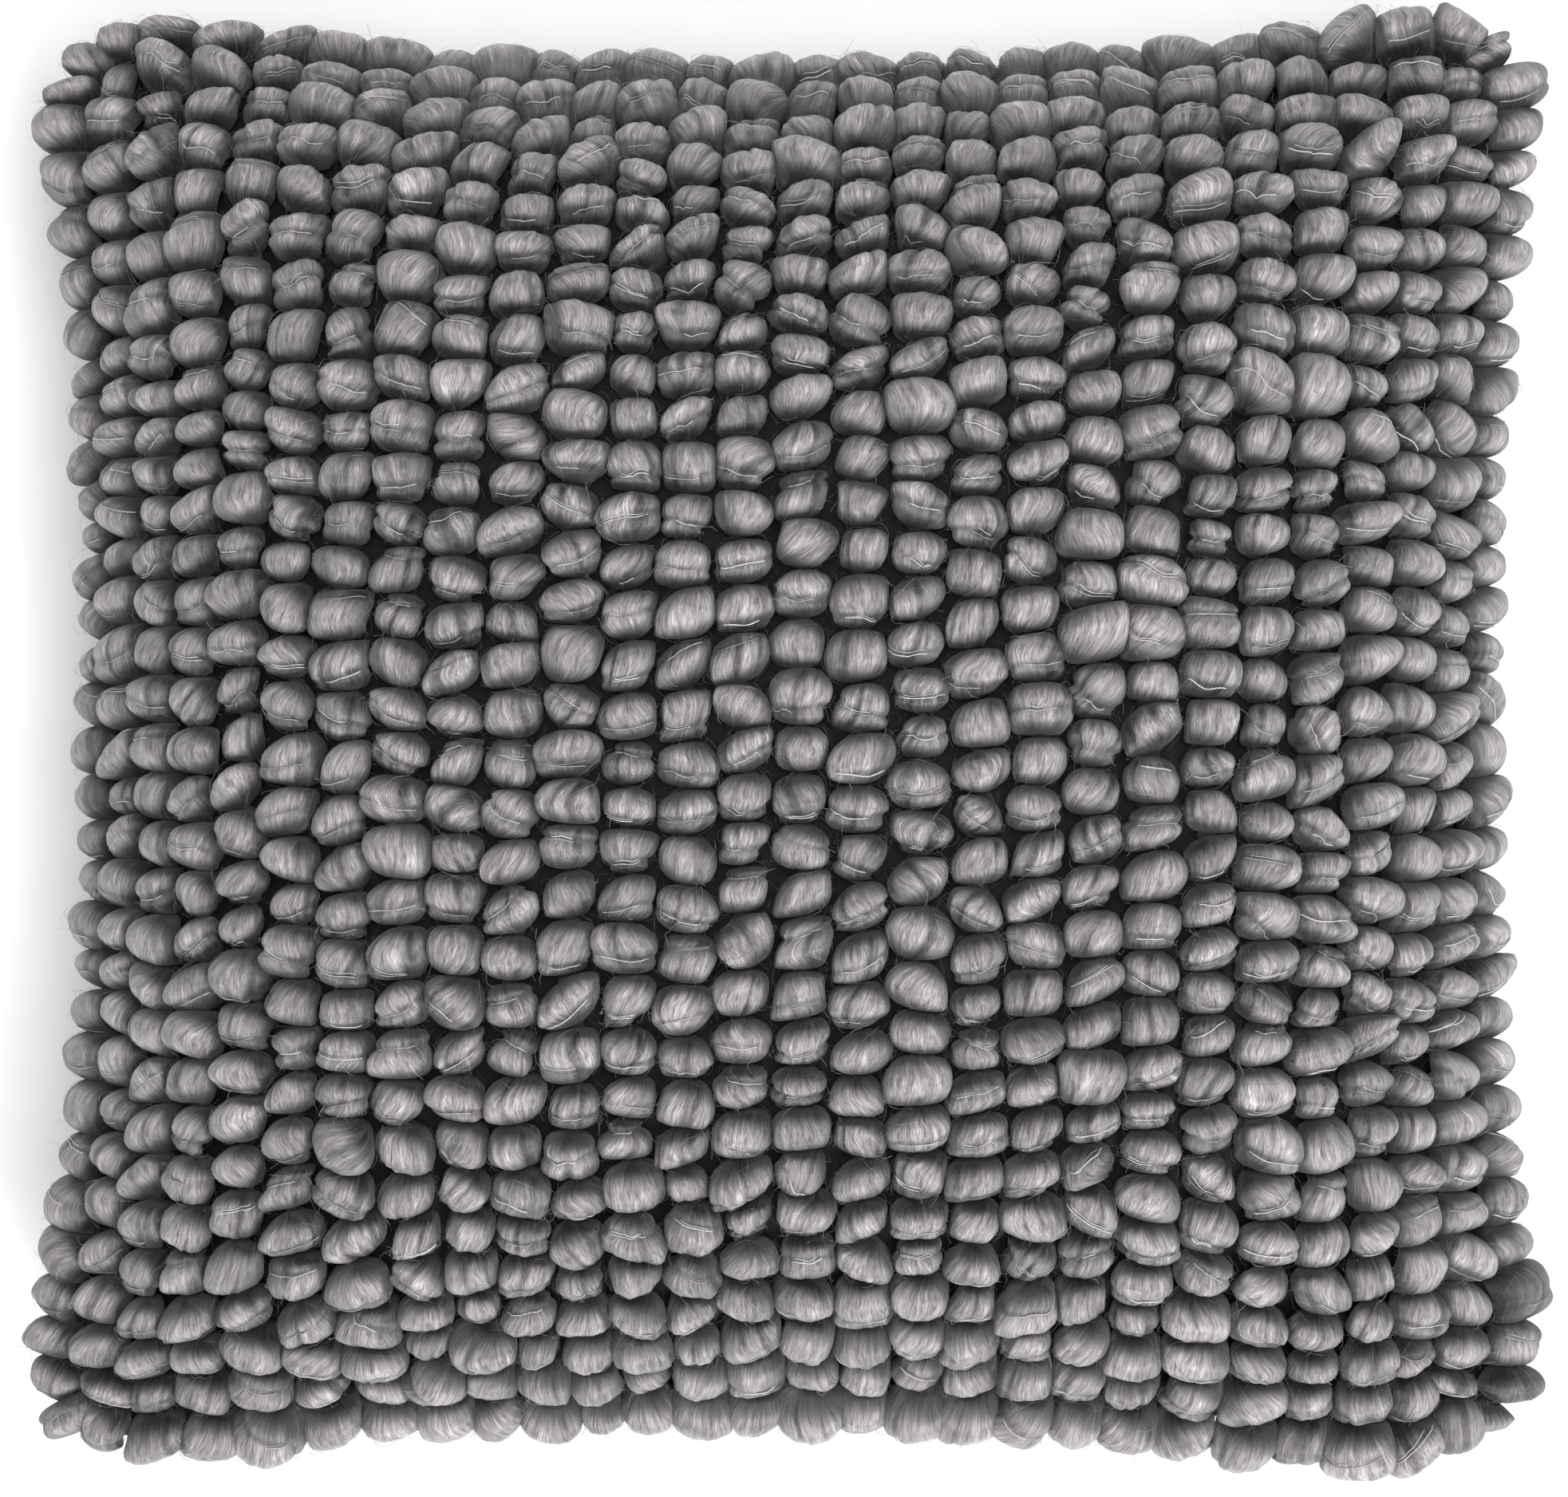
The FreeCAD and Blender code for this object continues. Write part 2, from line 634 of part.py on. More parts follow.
def zip_pull():
    """Flat pull whose bar turns in the slider's bridge; local X runs to its tip."""
    pull = doc.addObject("PartDesign::Body", "zip_pull")
    pull.Label = "zip_pull"
    half = "dims.pull_half_high"
    low = ("-dims.pull_thick / 2", "-" + half)
    high = ("dims.pull_long", half)
    padded(pull, polygon_sketch(pull, "pull_plate", "XZ_Plane", box_outline(low, high)), "dims.pull_thick")
    window = box_outline(
        ("-dims.pull_thick", "-dims.pull_window_half_high"),
        ("dims.pull_window_long", "dims.pull_window_half_high"),
    )
    pocketed(pull, polygon_sketch(pull, "pull_window", "XZ_Plane", window), "2 * dims.pull_thick")
    bar = new_sketch(pull, "pull_bar", "XY_Plane")
    bar.addGeometry(Part.Circle(vector(0, 0, 0), vector(0, 0, 1), size("pivot_bar_radius")))
    bar.addConstraint(Sketcher.Constraint("Coincident", 0, 3, -1, 1))
    place = bar.addConstraint(Sketcher.Constraint("Radius", 0, size("pivot_bar_radius")))
    bar.setExpression("Constraints[%d]" % place, "dims.pivot_bar_radius")
    padded(pull, bar, "dims.pull_half_high + dims.pull_window_half_high")
    doc.recompute()
    far = size("pull_long")
    tip = []
    for number, edge in enumerate(pull.Shape.Edges, 1):
        ends = [vertex.Point.x for vertex in edge.Vertexes]
        if edge.Length < 1.5 * size("pull_thick") and all(abs(x - far) < TINY for x in ends):
            tip.append("Edge%d" % number)
    plain = pull.Tip
    rounded = pull.newObject("PartDesign::Fillet", "pull_tip")
    rounded.Base = (plain, tip)
    rounded.setExpression("Radius", "dims.pull_tip_radius")
    pull.Tip = rounded
    inward_place = size("coil_face") - size("slider_gap") - size("plate_thick") - size("pivot_out")
    radial = FreeCAD.Rotation(vector(0, 0, 1), 90 - size("rest_angle"))
    place = ZIP_CENTRE + radial.multVec(vector(size("zip_bend") + inward_place, 0, 0))
    pull.Placement = FreeCAD.Placement(place, FreeCAD.Rotation(vector(0, 0, 1), 180 - size("rest_angle")))
    keep(pull)


def care_label():
    """Blank label, sewn inside the cover's left seam."""
    label = doc.addObject("Part::Box", "care_label")
    label.Label = "care_label"
    label.setExpression("Length", "dims.label_thick")
    label.setExpression("Width", "dims.label_long")
    label.setExpression("Height", "dims.label_high")
    bend = size("corner_along") ** 2 / (2 * size("pull_across"))
    centre = vector(size("pull_across") - size("corner_across") - bend, 0, seam_z)
    angle = math.degrees(math.asin(size("label_from_middle") / bend))
    turned = FreeCAD.Rotation(vector(0, 0, 1), -angle)
    corner = vector(bend + size("label_inset"), -size("label_long") / 2, -size("label_high") / 2)
    label.Placement = FreeCAD.Placement(centre + turned.multVec(corner), turned)
    keep(label)


# ---------------------------------------------------------------- build and write
def check_and_write():
    """Stop on any failed object, then write one file for each sub-part."""
    doc.recompute()
    for item in doc.Objects:
        if "Invalid" in item.State or "Error" in item.State:
            raise RuntimeError("%s failed: %s" % (item.Name, item.State))
    os.makedirs("parts", exist_ok=True)
    for node in nodes:
        shape = node.Shape
        if shape.isNull() or not shape.isValid():
            raise RuntimeError(node.Label + " has no valid shape")
        shape.exportStep(os.path.join("parts", node.Label + ".step"))
        print("%-24s %2d solids %12.1f mm3" % (node.Label, len(shape.Solids), shape.Volume))


cover_cloths()
loop_columns()
binder_threads()
insert_pieces()
seam_threads()
zip_sides()
zip_stops()
zip_slider()
zip_pull()
care_label()
check_and_write()
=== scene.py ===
"""Looks of a square throw pillow whose front is covered with woven loops of thick roving.

Everything is in metres, in the frame of the CAD model: +Z is up through the looped front,
+Y runs along the columns of loops and the zip is in the seam of the -Y edge.
"""

import math

import bpy
import numpy as np
from mathutils import Matrix, Vector


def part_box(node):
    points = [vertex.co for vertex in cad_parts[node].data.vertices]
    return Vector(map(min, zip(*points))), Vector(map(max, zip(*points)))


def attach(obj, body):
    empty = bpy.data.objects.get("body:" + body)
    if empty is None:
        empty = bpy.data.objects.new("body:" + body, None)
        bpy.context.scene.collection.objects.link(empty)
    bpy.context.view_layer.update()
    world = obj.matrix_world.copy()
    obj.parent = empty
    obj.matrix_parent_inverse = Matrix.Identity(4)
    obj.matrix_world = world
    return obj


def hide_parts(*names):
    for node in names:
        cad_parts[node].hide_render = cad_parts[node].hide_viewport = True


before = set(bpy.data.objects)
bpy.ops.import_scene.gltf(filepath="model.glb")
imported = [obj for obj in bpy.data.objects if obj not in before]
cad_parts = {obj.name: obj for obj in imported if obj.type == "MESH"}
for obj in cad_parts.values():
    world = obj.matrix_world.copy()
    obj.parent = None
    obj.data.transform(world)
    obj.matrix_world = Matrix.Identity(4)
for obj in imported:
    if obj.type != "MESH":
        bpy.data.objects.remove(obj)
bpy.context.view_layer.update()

MM = 0.001
BODY = "pillow"

# ---------------- driving sizes
cloth_low, cloth_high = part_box("front_ground_cloth")
CORNER_X, CORNER_Y = cloth_high.x, cloth_high.y
SEAM_Z = cloth_low.z
CROWN = cloth_high.z - cloth_low.z
BACK_DEPTH = SEAM_Z + 3 * MM   # the back would hang this far, but the floor flattens it
PULL_X, PULL_Y = 13.5 * MM, 15.5 * MM   # how far the sides are drawn in halfway along
CLOTH_SIDE = 508 * MM   # of the square that each panel was cut to
EDGE_SLOPE = math.radians(66)   # of a panel's profile at the seam, before it is scaled to size
BEND_POWER = 2.3   # how late a panel bends down towards the seam
COLUMNS, ROWS = 28, 32   # of loops
_, tape_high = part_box("zip_tape_front")
SLOT_HALF = tape_high.x - 1 * MM   # half the length of the zip's opening

# ---------------- the two panels
PROFILE_STEPS = 400
profile_places = (np.arange(PROFILE_STEPS) + 0.5) / PROFILE_STEPS
profile_slope = EDGE_SLOPE * profile_places ** BEND_POWER
PLAN_TABLE = np.concatenate([[0], np.cumsum(np.cos(profile_slope))])
PLAN_TABLE /= PLAN_TABLE[-1]
DROP_TABLE = np.concatenate([[0], np.cumsum(np.sin(profile_slope))])
DROP_TABLE /= DROP_TABLE[-1]
TABLE_PLACES = np.linspace(0, 1, PROFILE_STEPS + 1)


def plan_share(place):
    """Plan distance from the middle for a place on the cloth, both from -1 to 1."""
    return np.sign(place) * np.interp(np.abs(place), TABLE_PLACES, PLAN_TABLE)


def rise_share(place):
    """Share of the crown's rise that is left at a place on the cloth."""
    return 1 - np.interp(np.abs(place), TABLE_PLACES, DROP_TABLE)


def panel_points(u, v, crown):
    """Places in space on one filled panel; a negative crown hangs below the seam."""
    across = plan_share(u) + (u - plan_share(u)) * v * v
    along = plan_share(v) + (v - plan_share(v)) * u * u
    x = across * (CORNER_X - PULL_X * (1 - along ** 2))
    y = along * (CORNER_Y - PULL_Y * (1 - across ** 2))
    z = SEAM_Z + crown * rise_share(u) * rise_share(v)
    return np.stack([x, y, np.maximum(z, 0)], -1)


# the corners are pushed out and rounded; nearness is 0 on the middle lines and 1 at a corner
EAR_ROUND, CLOTH_ROUND = 38 * MM, 42 * MM   # radius under the loops and of the cloths
EAR_PUSH, CLOTH_PUSH = 8.5 * MM, 6.5 * MM
PUSH_START, PUSH_FULL = 0.40, 0.92   # nearness where the push starts and is whole
ZIP_PUSH_START = 0.78   # past the ends of the zip, whose pull lies along the seam
SHORTEST_RISE = 0.20   # of nearness, from the push's start until it is whole
EAR_EXTRA = 0.38   # share that the corner at -X, -Y is pushed further along X
FOOT_ROUND = 17 * MM   # the corner beside the slider is rounder than the others
SAG, SAG_AT, SAG_WIDE = 5.5 * MM, 150 * MM, 62 * MM   # the loops hang lowest near that corner
SAG_START = 0.55   # share of the way to the zip's side where they begin to


def smooth_step(value, low, high):
    """Eases from 0 at low to 1 at high."""
    share = np.clip((value - low) / (high - low), 0, 1)
    return share * share * (3 - 2 * share)


def with_ears(points, rounding=EAR_ROUND, ear_push=EAR_PUSH, zip_start=PUSH_START):
    """Panel points with the corners pushed out and rounded off, as a filled corner is."""
    x, y = points[..., 0], points[..., 1]
    rounding = rounding + FOOT_ROUND * (x > 0) * (y < 0)
    nearness = np.minimum(np.abs(x) / CORNER_X, np.abs(y) / CORNER_Y)
    push = ear_push * smooth_step(nearness, PUSH_START, PUSH_FULL)
    zip_full = max(PUSH_FULL, zip_start + SHORTEST_RISE)
    push_y = np.where(y < 0, ear_push * smooth_step(nearness, zip_start, zip_full), push)
    extra = EAR_EXTRA * (y < 0) * (x < 0)
    push_x = push * (1 + extra)
    ax, ay = np.abs(x) + push_x, np.abs(y) + push_y
    edge_x = CORNER_X + ear_push * (1 + extra) - rounding
    edge_y = CORNER_Y + ear_push - rounding
    past_x, past_y = np.maximum(ax - edge_x, 0), np.maximum(ay - edge_y, 0)
    length = np.hypot(past_x, past_y)
    shrink = np.where(length > 0, np.maximum(past_x, past_y) / np.maximum(length, 1e-9), 1.0)
    ax = np.where(past_x > 0, edge_x + past_x * shrink, ax)
    ay = np.where(past_y > 0, edge_y + past_y * shrink, ay)
    return np.stack([np.sign(x) * ax, np.sign(y) * ay, points[..., 2]], -1)


def front_points(u, v):
    """The looped panel with its rounded corners, sagging a little beside one of them."""
    points = with_ears(panel_points(u, v, CROWN))
    foot = smooth_step(-points[..., 1] / CORNER_Y, SAG_START, 1.0)
    points[..., 1] -= SAG * foot * np.exp(-((points[..., 0] - SAG_AT) / SAG_WIDE) ** 2)
    return points


def unit(vectors):
    """Vectors scaled to length 1."""
    return vectors / np.maximum(np.linalg.norm(vectors, axis=-1, keepdims=True), 1e-12)


def rounded_window(reach):
    """Weights that smooth random numbers and keep them about as large."""
    window = np.hanning(2 * reach + 3)[1:-1]
    return window / np.sqrt((window ** 2).sum())


def softened(values, reach):
    """Values smoothed along the last axis."""
    padded = np.pad(values, ((0, 0), (reach, reach)), "reflect")
    return np.stack([np.convolve(row, rounded_window(reach), "valid") for row in padded])


# ---------------- mesh helpers
def new_piece(name, points, faces, smooth=True):
    """A mesh object from points and one or more (count, 3 or 4) arrays of faces."""
    points = np.asarray(points, np.float32).reshape(-1, 3)
    groups = faces if isinstance(faces, (list, tuple)) else [faces]
    groups = [np.asarray(group, np.int32) for group in groups]
    corners = np.concatenate([group.ravel() for group in groups])
    totals = np.concatenate([np.full(len(group), group.shape[1], np.int32) for group in groups])
    starts = np.concatenate([[0], np.cumsum(totals)[:-1]]).astype(np.int32)
    mesh = bpy.data.meshes.new(name)
    mesh.vertices.add(len(points))
    mesh.vertices.foreach_set("co", points.ravel())
    mesh.loops.add(len(corners))
    mesh.loops.foreach_set("vertex_index", corners)
    mesh.polygons.add(len(totals))
    mesh.polygons.foreach_set("loop_start", starts)
    mesh.polygons.foreach_set("loop_total", totals)
    mesh.polygons.foreach_set("use_smooth", np.full(len(totals), smooth))
    mesh.update(calc_edges=True)
    piece = bpy.data.objects.new(name, mesh)
    bpy.context.scene.collection.objects.link(piece)
    return piece


def point_value(piece, name, values):
    """Store one number or one vector for each point of a piece."""
    values = np.asarray(values, np.float32)
    if values.ndim == 1:
        layer = piece.data.attributes.new(name, "FLOAT", "POINT")
        layer.data.foreach_set("value", values)
    else:
        layer = piece.data.attributes.new(name, "FLOAT_VECTOR", "POINT")
        layer.data.foreach_set("vector", values.ravel())


def map_flat(piece, places):
    """Lay a piece out flat for its textures: one (u, v) for each point."""
    corners = np.empty(len(piece.data.loops), np.int32)
    piece.data.loops.foreach_get("vertex_index", corners)
    layer = piece.data.uv_layers.new(name="UVMap")
    layer.data.foreach_set("uv", np.asarray(places, np.float32)[corners].ravel())


def tube_faces(rings, around):
    """Faces of the wall of a tube made of rings; its caps are left to the caller."""
    ring = np.arange(rings - 1)[:, None] * around
    side = np.arange(around)[None, :]
    after = (side + 1) % around
    quads = np.stack([ring + side, ring + after, ring + around + after, ring + around + side], -1)
    return quads.reshape(-1, 4)


def grid_faces(side, first, flip):
    """Faces of a square grid of points that starts at the point numbered first."""
    low = (np.arange(side - 1)[:, None] * side + np.arange(side - 1)[None, :]).ravel() + first
    quads = np.stack([low, low + side, low + side + 1, low + 1], -1)
    return quads[:, ::-1] if flip else quads


# ---------------- cloth simulation
GRID = 72   # cells along each side of a panel
grid_line = np.linspace(-1, 1, GRID + 1)
grid_u, grid_v = np.meshgrid(grid_line, grid_line, indexing="ij")


def shell_points(front, back):
    """Front grid, then the back grid's inner points; both share the border."""
    return np.concatenate([front.reshape(-1, 3), back[1:-1, 1:-1].reshape(-1, 3)])


def shell_faces():
    """Faces of the two panels sewn together along their border."""
    side = GRID + 1
    front_index = np.arange(side * side).reshape(side, side)
    back_index = front_index.copy()
    inner = GRID - 1
    back_index[1:-1, 1:-1] = side * side + np.arange(inner * inner).reshape(inner, inner)
    faces = []
    for index, flip in ((front_index, False), (back_index, True)):
        quads = np.stack([index[:-1, :-1], index[1:, :-1], index[1:, 1:], index[:-1, 1:]], -1)
        quads = quads.reshape(-1, 4)
        faces.append(quads[:, ::-1] if flip else quads)
    return np.concatenate(faces), back_index


def inflated_back(front, back, frames=24, pressure=4.0, reach=9 * MM):
    """Fill the sewn shell with air, with the seam held, and give back the lower panel."""
    faces, back_index = shell_faces()
    start = shell_points(front, back)
    shell = new_piece("shell_under_pressure", start, faces)
    flat = np.stack([grid_u * CLOTH_SIDE / 2, grid_v * CLOTH_SIDE / 2, np.full_like(grid_u, SEAM_Z)], -1)
    shell.shape_key_add(name="Basis")
    cut = shell.shape_key_add(name="cut_size")
    cut.data.foreach_set("co", shell_points(flat, flat).astype(np.float32).ravel())
    held = shell.vertex_groups.new(name="held")
    side = GRID + 1
    border = np.ones((side, side), bool)
    border[1:-1, 1:-1] = False
    held.add([int(index) for index in np.flatnonzero(border.ravel())], 1.0, "REPLACE")
    cloth = shell.modifiers.new("cloth", "CLOTH")
    settings = cloth.settings
    settings.quality = 6
    settings.mass = 0.02
    settings.tension_stiffness = 15
    settings.compression_stiffness = 15
    settings.shear_stiffness = 8
    settings.bending_stiffness = 0.5
    settings.air_damping = 4
    settings.use_pressure = True
    settings.uniform_pressure_force = pressure
    settings.effector_weights.gravity = 0
    settings.vertex_group_mass = "held"
    settings.rest_shape_key = cut
    cloth.collision_settings.use_self_collision = False
    cloth.point_cache.frame_start = 1
    cloth.point_cache.frame_end = frames
    scene = bpy.context.scene
    for number in range(1, frames + 1):
        scene.frame_set(number)
    evaluated = shell.evaluated_get(bpy.context.evaluated_depsgraph_get())
    end = np.empty(len(start) * 3, np.float32)
    evaluated.data.vertices.foreach_get("co", end)
    end = end.reshape(-1, 3).astype(float)
    scene.frame_set(1)
    bpy.data.objects.remove(shell)
    move = end - start
    length = np.linalg.norm(move, axis=1, keepdims=True)
    end = start + move * np.minimum(1, reach / np.maximum(length, 1e-9))
    return end[back_index.ravel()].reshape(side, side, 3)


rng = np.random.default_rng(1471)
inner_cloth = np.zeros((GRID + 1, GRID + 1, 1), bool)
inner_cloth[1:-1, 1:-1] = True
front_cloth = panel_points(grid_u, grid_v, CROWN)
back_cloth = panel_points(grid_u, grid_v, -BACK_DEPTH)
loose = back_cloth.copy()
uneven = softened(softened(rng.normal(0, 0.35 * MM, loose.shape[:2]), 3).T, 3).T
loose[1:-1, 1:-1, 2] += uneven[1:-1, 1:-1]
shift = inflated_back(front_cloth, loose) - back_cloth
for _ in range(2):
    for axis in (0, 1):
        before, after = np.roll(shift, 1, axis), np.roll(shift, -1, axis)
        shift = np.where(inner_cloth, (before + 2 * shift + after) / 4, shift)
back_cloth = back_cloth + shift

# gathers run in from the seam, a few centimetres long
GATHERS = ((19 * MM, 0.9 * MM), (31 * MM, 1.1 * MM), (47 * MM, 0.9 * MM))   # spacing and height
GATHER_BEND = 73 * MM   # how slowly their spacing changes along the seam
GATHER_START, GATHER_FADE = 16 * MM, 30 * MM   # in from the seam
CORNER_FREE = 0.12   # share of half a side that they fade out over at a corner
seam_reach = (1 - np.maximum(np.abs(grid_u), np.abs(grid_v))) * CLOTH_SIDE / 2
seam_place = np.where(np.abs(grid_u) > np.abs(grid_v), grid_v, grid_u) * CLOTH_SIDE / 2
gathers = np.zeros_like(seam_reach)
for spacing, tall in GATHERS:
    phase = rng.uniform(0, 6.28) + 1.4 * np.sin(seam_place / GATHER_BEND + rng.uniform(0, 6.28))
    gathers += tall * np.sin(seam_place / spacing * 2 * math.pi + phase)
gathers *= smooth_step(seam_reach, 0, GATHER_START) * np.exp(-seam_reach / GATHER_FADE)
gathers *= smooth_step(np.abs(np.abs(grid_u) - np.abs(grid_v)), 0.0, CORNER_FREE)
back_out = unit(np.cross(np.gradient(back_cloth, axis=0), np.gradient(back_cloth, axis=1)))
back_cloth = back_cloth + back_out * gathers[..., None]
back_cloth[..., 2] = np.maximum(back_cloth[..., 2], 0.0)
front_cloth = with_ears(front_cloth, CLOTH_ROUND, CLOTH_PUSH, ZIP_PUSH_START)
back_cloth = with_ears(back_cloth, CLOTH_ROUND, CLOTH_PUSH, ZIP_PUSH_START)


def cubic_weights(share):
    """Weights of four neighbours for a smooth curve through the middle two."""
    s1, s2, s3 = share, share ** 2, share ** 3
    return ((-s1 + 2 * s2 - s3) / 2, (2 - 5 * s2 + 3 * s3) / 2, (s1 + 4 * s2 - 3 * s3) / 2, (s3 - s2) / 2)


def on_grid(grid, u, v):
    """Smoothly read a square grid of points at places u, v from -1 to 1."""
    cells = grid.shape[0] - 1
    x = np.clip((u + 1) / 2 * cells, 0, cells - 1e-6)
    y = np.clip((v + 1) / 2 * cells, 0, cells - 1e-6)
    i, j = x.astype(int), y.astype(int)
    wide = np.concatenate([2 * grid[:1] - grid[1:2], grid, 2 * grid[-1:] - grid[-2:-1]])
    wide = np.concatenate([2 * wide[:, :1] - wide[:, 1:2], wide, 2 * wide[:, -1:] - wide[:, -2:-1]], axis=1)
    across, along = cubic_weights(x - i), cubic_weights(y - j)
    total = 0
    for step_i, share_i in enumerate(across):
        for step_j, share_j in enumerate(along):
            total = total + wide[i + step_i, j + step_j] * (share_i * share_j)[..., None]
    return total


def front_frame(u, v):
    """Point, unit directions across, along and outward, and the stretch of u and v."""
    step = 0.004
    u, v = np.clip(u, -1, 1), np.clip(v, -1, 1)
    u_low, u_high = np.clip(u - step, -1, 1), np.clip(u + step, -1, 1)
    v_low, v_high = np.clip(v - step, -1, 1), np.clip(v + step, -1, 1)
    across = (front_points(u_high, v) - front_points(u_low, v)) / (u_high - u_low)[..., None]
    along = (front_points(u, v_high) - front_points(u, v_low)) / (v_high - v_low)[..., None]
    span_u, span_v = np.linalg.norm(across, axis=-1), np.linalg.norm(along, axis=-1)
    return front_points(u, v), unit(across), unit(along), unit(np.cross(across, along)), span_u, span_v


# ---------------- layout of the loops
def smooth_noise(shape, reach, generator):
    """Random numbers that vary slowly along the last axis, about 1 in size."""
    raw = generator.normal(size=shape[:-1] + (shape[-1] + 4 * reach,))
    flat = raw.reshape(-1, raw.shape[-1])
    smoothed = np.stack([np.convolve(row, rounded_window(reach), "same") for row in flat])
    return smoothed.reshape(raw.shape)[..., 2 * reach:2 * reach + shape[-1]]


ROWS_START = -0.974   # the loops stop short of the seam that holds the zip
SHORTEST_LOOP = 0.74   # share of the rows' pitch
EDGE_OUT, TOP_OUT = 0.13, 0.15   # the outer loops hang past the seam by this share of the pitch
EDGE_GAIN = 0.03   # the outer loops are larger by this share
pitch_u, pitch_v = 2 / COLUMNS, 2 / ROWS
column_index, row_index = np.meshgrid(np.arange(COLUMNS), np.arange(ROWS), indexing="ij")
shape = column_index.shape
at_edge_u = (column_index == 0) | (column_index == COLUMNS - 1)
over_zip = row_index == 0
at_top = row_index == ROWS - 1
at_edge_v = over_zip | at_top


def loop_sizes(generator):
    """How large each loop is, with a few fat and a few thin ones."""
    sizes = np.exp(generator.normal(0, 0.075, shape))
    kind = generator.random(shape)
    sizes = np.where(kind > 0.955, sizes * generator.uniform(1.12, 1.28, shape), sizes)
    sizes = np.where(kind < 0.05, sizes * 0.86, sizes)
    return np.clip(sizes, 0.78, 1.34)


def loop_edges(sizes, generator):
    """Places along each column where one loop ends and the next begins."""
    own_length = np.exp(generator.normal(0, 0.11, shape)) * sizes ** 0.6
    places = np.concatenate([np.zeros((COLUMNS, 1)), np.cumsum(own_length, axis=1)], axis=1)
    places = places / places[:, -1:] * 2 - 1
    even = np.linspace(-1, 1, ROWS + 1)[None, :]
    places = 0.62 * places + 0.38 * even
    sway = 0.20 * pitch_v * softened(smooth_noise((ROWS + 1, COLUMNS), 6, generator).T, 5)
    places[:, 1:-1] += (sway * (1 - even ** 8))[:, 1:-1]
    for _ in range(6):
        shortfall = np.maximum(0, SHORTEST_LOOP * pitch_v - np.diff(places, axis=1)) / 2
        places[:, 1:-1] += shortfall[:, :-1] - shortfall[:, 1:]
    return 1 - (1 - places) * (1 - ROWS_START) / 2


def loop_middles_across(generator):
    """Places of the loops across the cloth; the columns wander a little, but not at the edges."""
    middles = (column_index + 0.5) * pitch_u - 1
    inner = np.minimum(1, np.minimum(column_index, COLUMNS - 1 - column_index) / 2)
    wander = 0.045 * smooth_noise(shape, 4, generator) + 0.065 * generator.normal(size=shape)
    middles = middles + pitch_u * np.clip(wander, -0.17, 0.17) * inner
    for _ in range(2):
        middles[1:-1] = 0.6 * middles[1:-1] + 0.2 * (middles[:-2] + middles[2:])
    return middles + np.sign(middles) * at_edge_u * pitch_u * EDGE_OUT


size = loop_sizes(rng)
edges = loop_edges(size, rng)
loop_u = loop_middles_across(rng)
loop_v = (edges[:, 1:] + edges[:, :-1]) / 2 + at_top * pitch_v * TOP_OUT
long_share = (edges[:, 1:] - edges[:, :-1]) / pitch_v
size = size * (1 + EDGE_GAIN * at_edge_u + EDGE_GAIN * at_edge_v)
place, dir_u, dir_v, dir_n, span_u, span_v = front_frame(loop_u, loop_v)
padded_u = np.concatenate([loop_u[:1] - pitch_u, loop_u, loop_u[-1:] + pitch_u])
wide_share = (padded_u[2:] - padded_u[:-2]) / (2 * pitch_u)
half_wide = span_u * pitch_u / 2 * wide_share
half_long = span_v * pitch_v / 2 * long_share
rim_share = smooth_step(np.maximum(np.abs(loop_u), np.abs(loop_v)), 0.70, 0.96)
corner_share = smooth_step(np.minimum(np.abs(loop_u), np.abs(loop_v)), 0.60, 0.94)
LOOP_HIGH = 7.2 * MM   # half the height of a loop
LOOP_LIFT = 6.2 * MM   # of its middle off the cloth
ZIP_LIFT = 3.5 * MM   # more over the zip
# loops that hang further out or less far than their neighbours:
# column, row, millimetres out, size gain, tone; the tones far below the random spread paint shade on the two
# loops that hang furthest out
STRAYS = ((27, 3, 2.5, 1.06, -2.8), (27, 1, 2.5, 1.08, -2.9), (26, 0, 1.0, 1.0, -0.6),
          (0, 2, 1.5, 1.06, -0.3), (0, 5, 1.0, 1.05, -0.1), (3, 0, 1.0, 1.05, -0.2),
          (0, 0, -2.0, 0.84, -0.3), (27, 0, -3.0, 0.86, -0.5), (27, 31, -1.5, 0.84, 0.0))
tone = np.clip(rng.normal(0, 0.35, shape) + 0.25 * (size - 1), -1, 1)
hang_out = np.zeros(shape)
for column, row, out_mm, gain, shade in STRAYS:
    hang_out[column, row] = out_mm * MM
    size[column, row] *= gain
    tone[column, row] = shade
lift = LOOP_LIFT * size ** 0.8 * (1 - 0.12 * rim_share) + rng.normal(0, 0.5 * MM, shape) + ZIP_LIFT * over_zip
centre = place + dir_n * lift[..., None]
sideways = np.stack([np.sign(loop_u) * (np.abs(loop_u) > np.abs(loop_v)),
                     np.sign(loop_v) * (np.abs(loop_v) >= np.abs(loop_u)), np.zeros(shape)], -1)
centre = centre + sideways * hang_out[..., None]

# ---------------- one loop
RINGS = 20
AROUND = 52
NECK = 0.24   # share of the girth that is left at a loop's ends
ring_turn = (np.arange(RINGS) + 0.5) / RINGS * math.pi - math.pi / 2
ring_place = np.sign(np.sin(ring_turn)) * np.abs(np.sin(ring_turn)) ** 0.92
side_share = np.arange(AROUND) / AROUND * 2 - 1
side_turn = math.pi * (0.72 * side_share + 0.28 * side_share ** 3)


def per_loop(values):
    """One number a loop, ready to be spread over rings and sides."""
    return values[..., None, None]


def bump(value, middle, width):
    """A rounded bump of height 1."""
    return np.exp(-((value - middle) / width) ** 2)


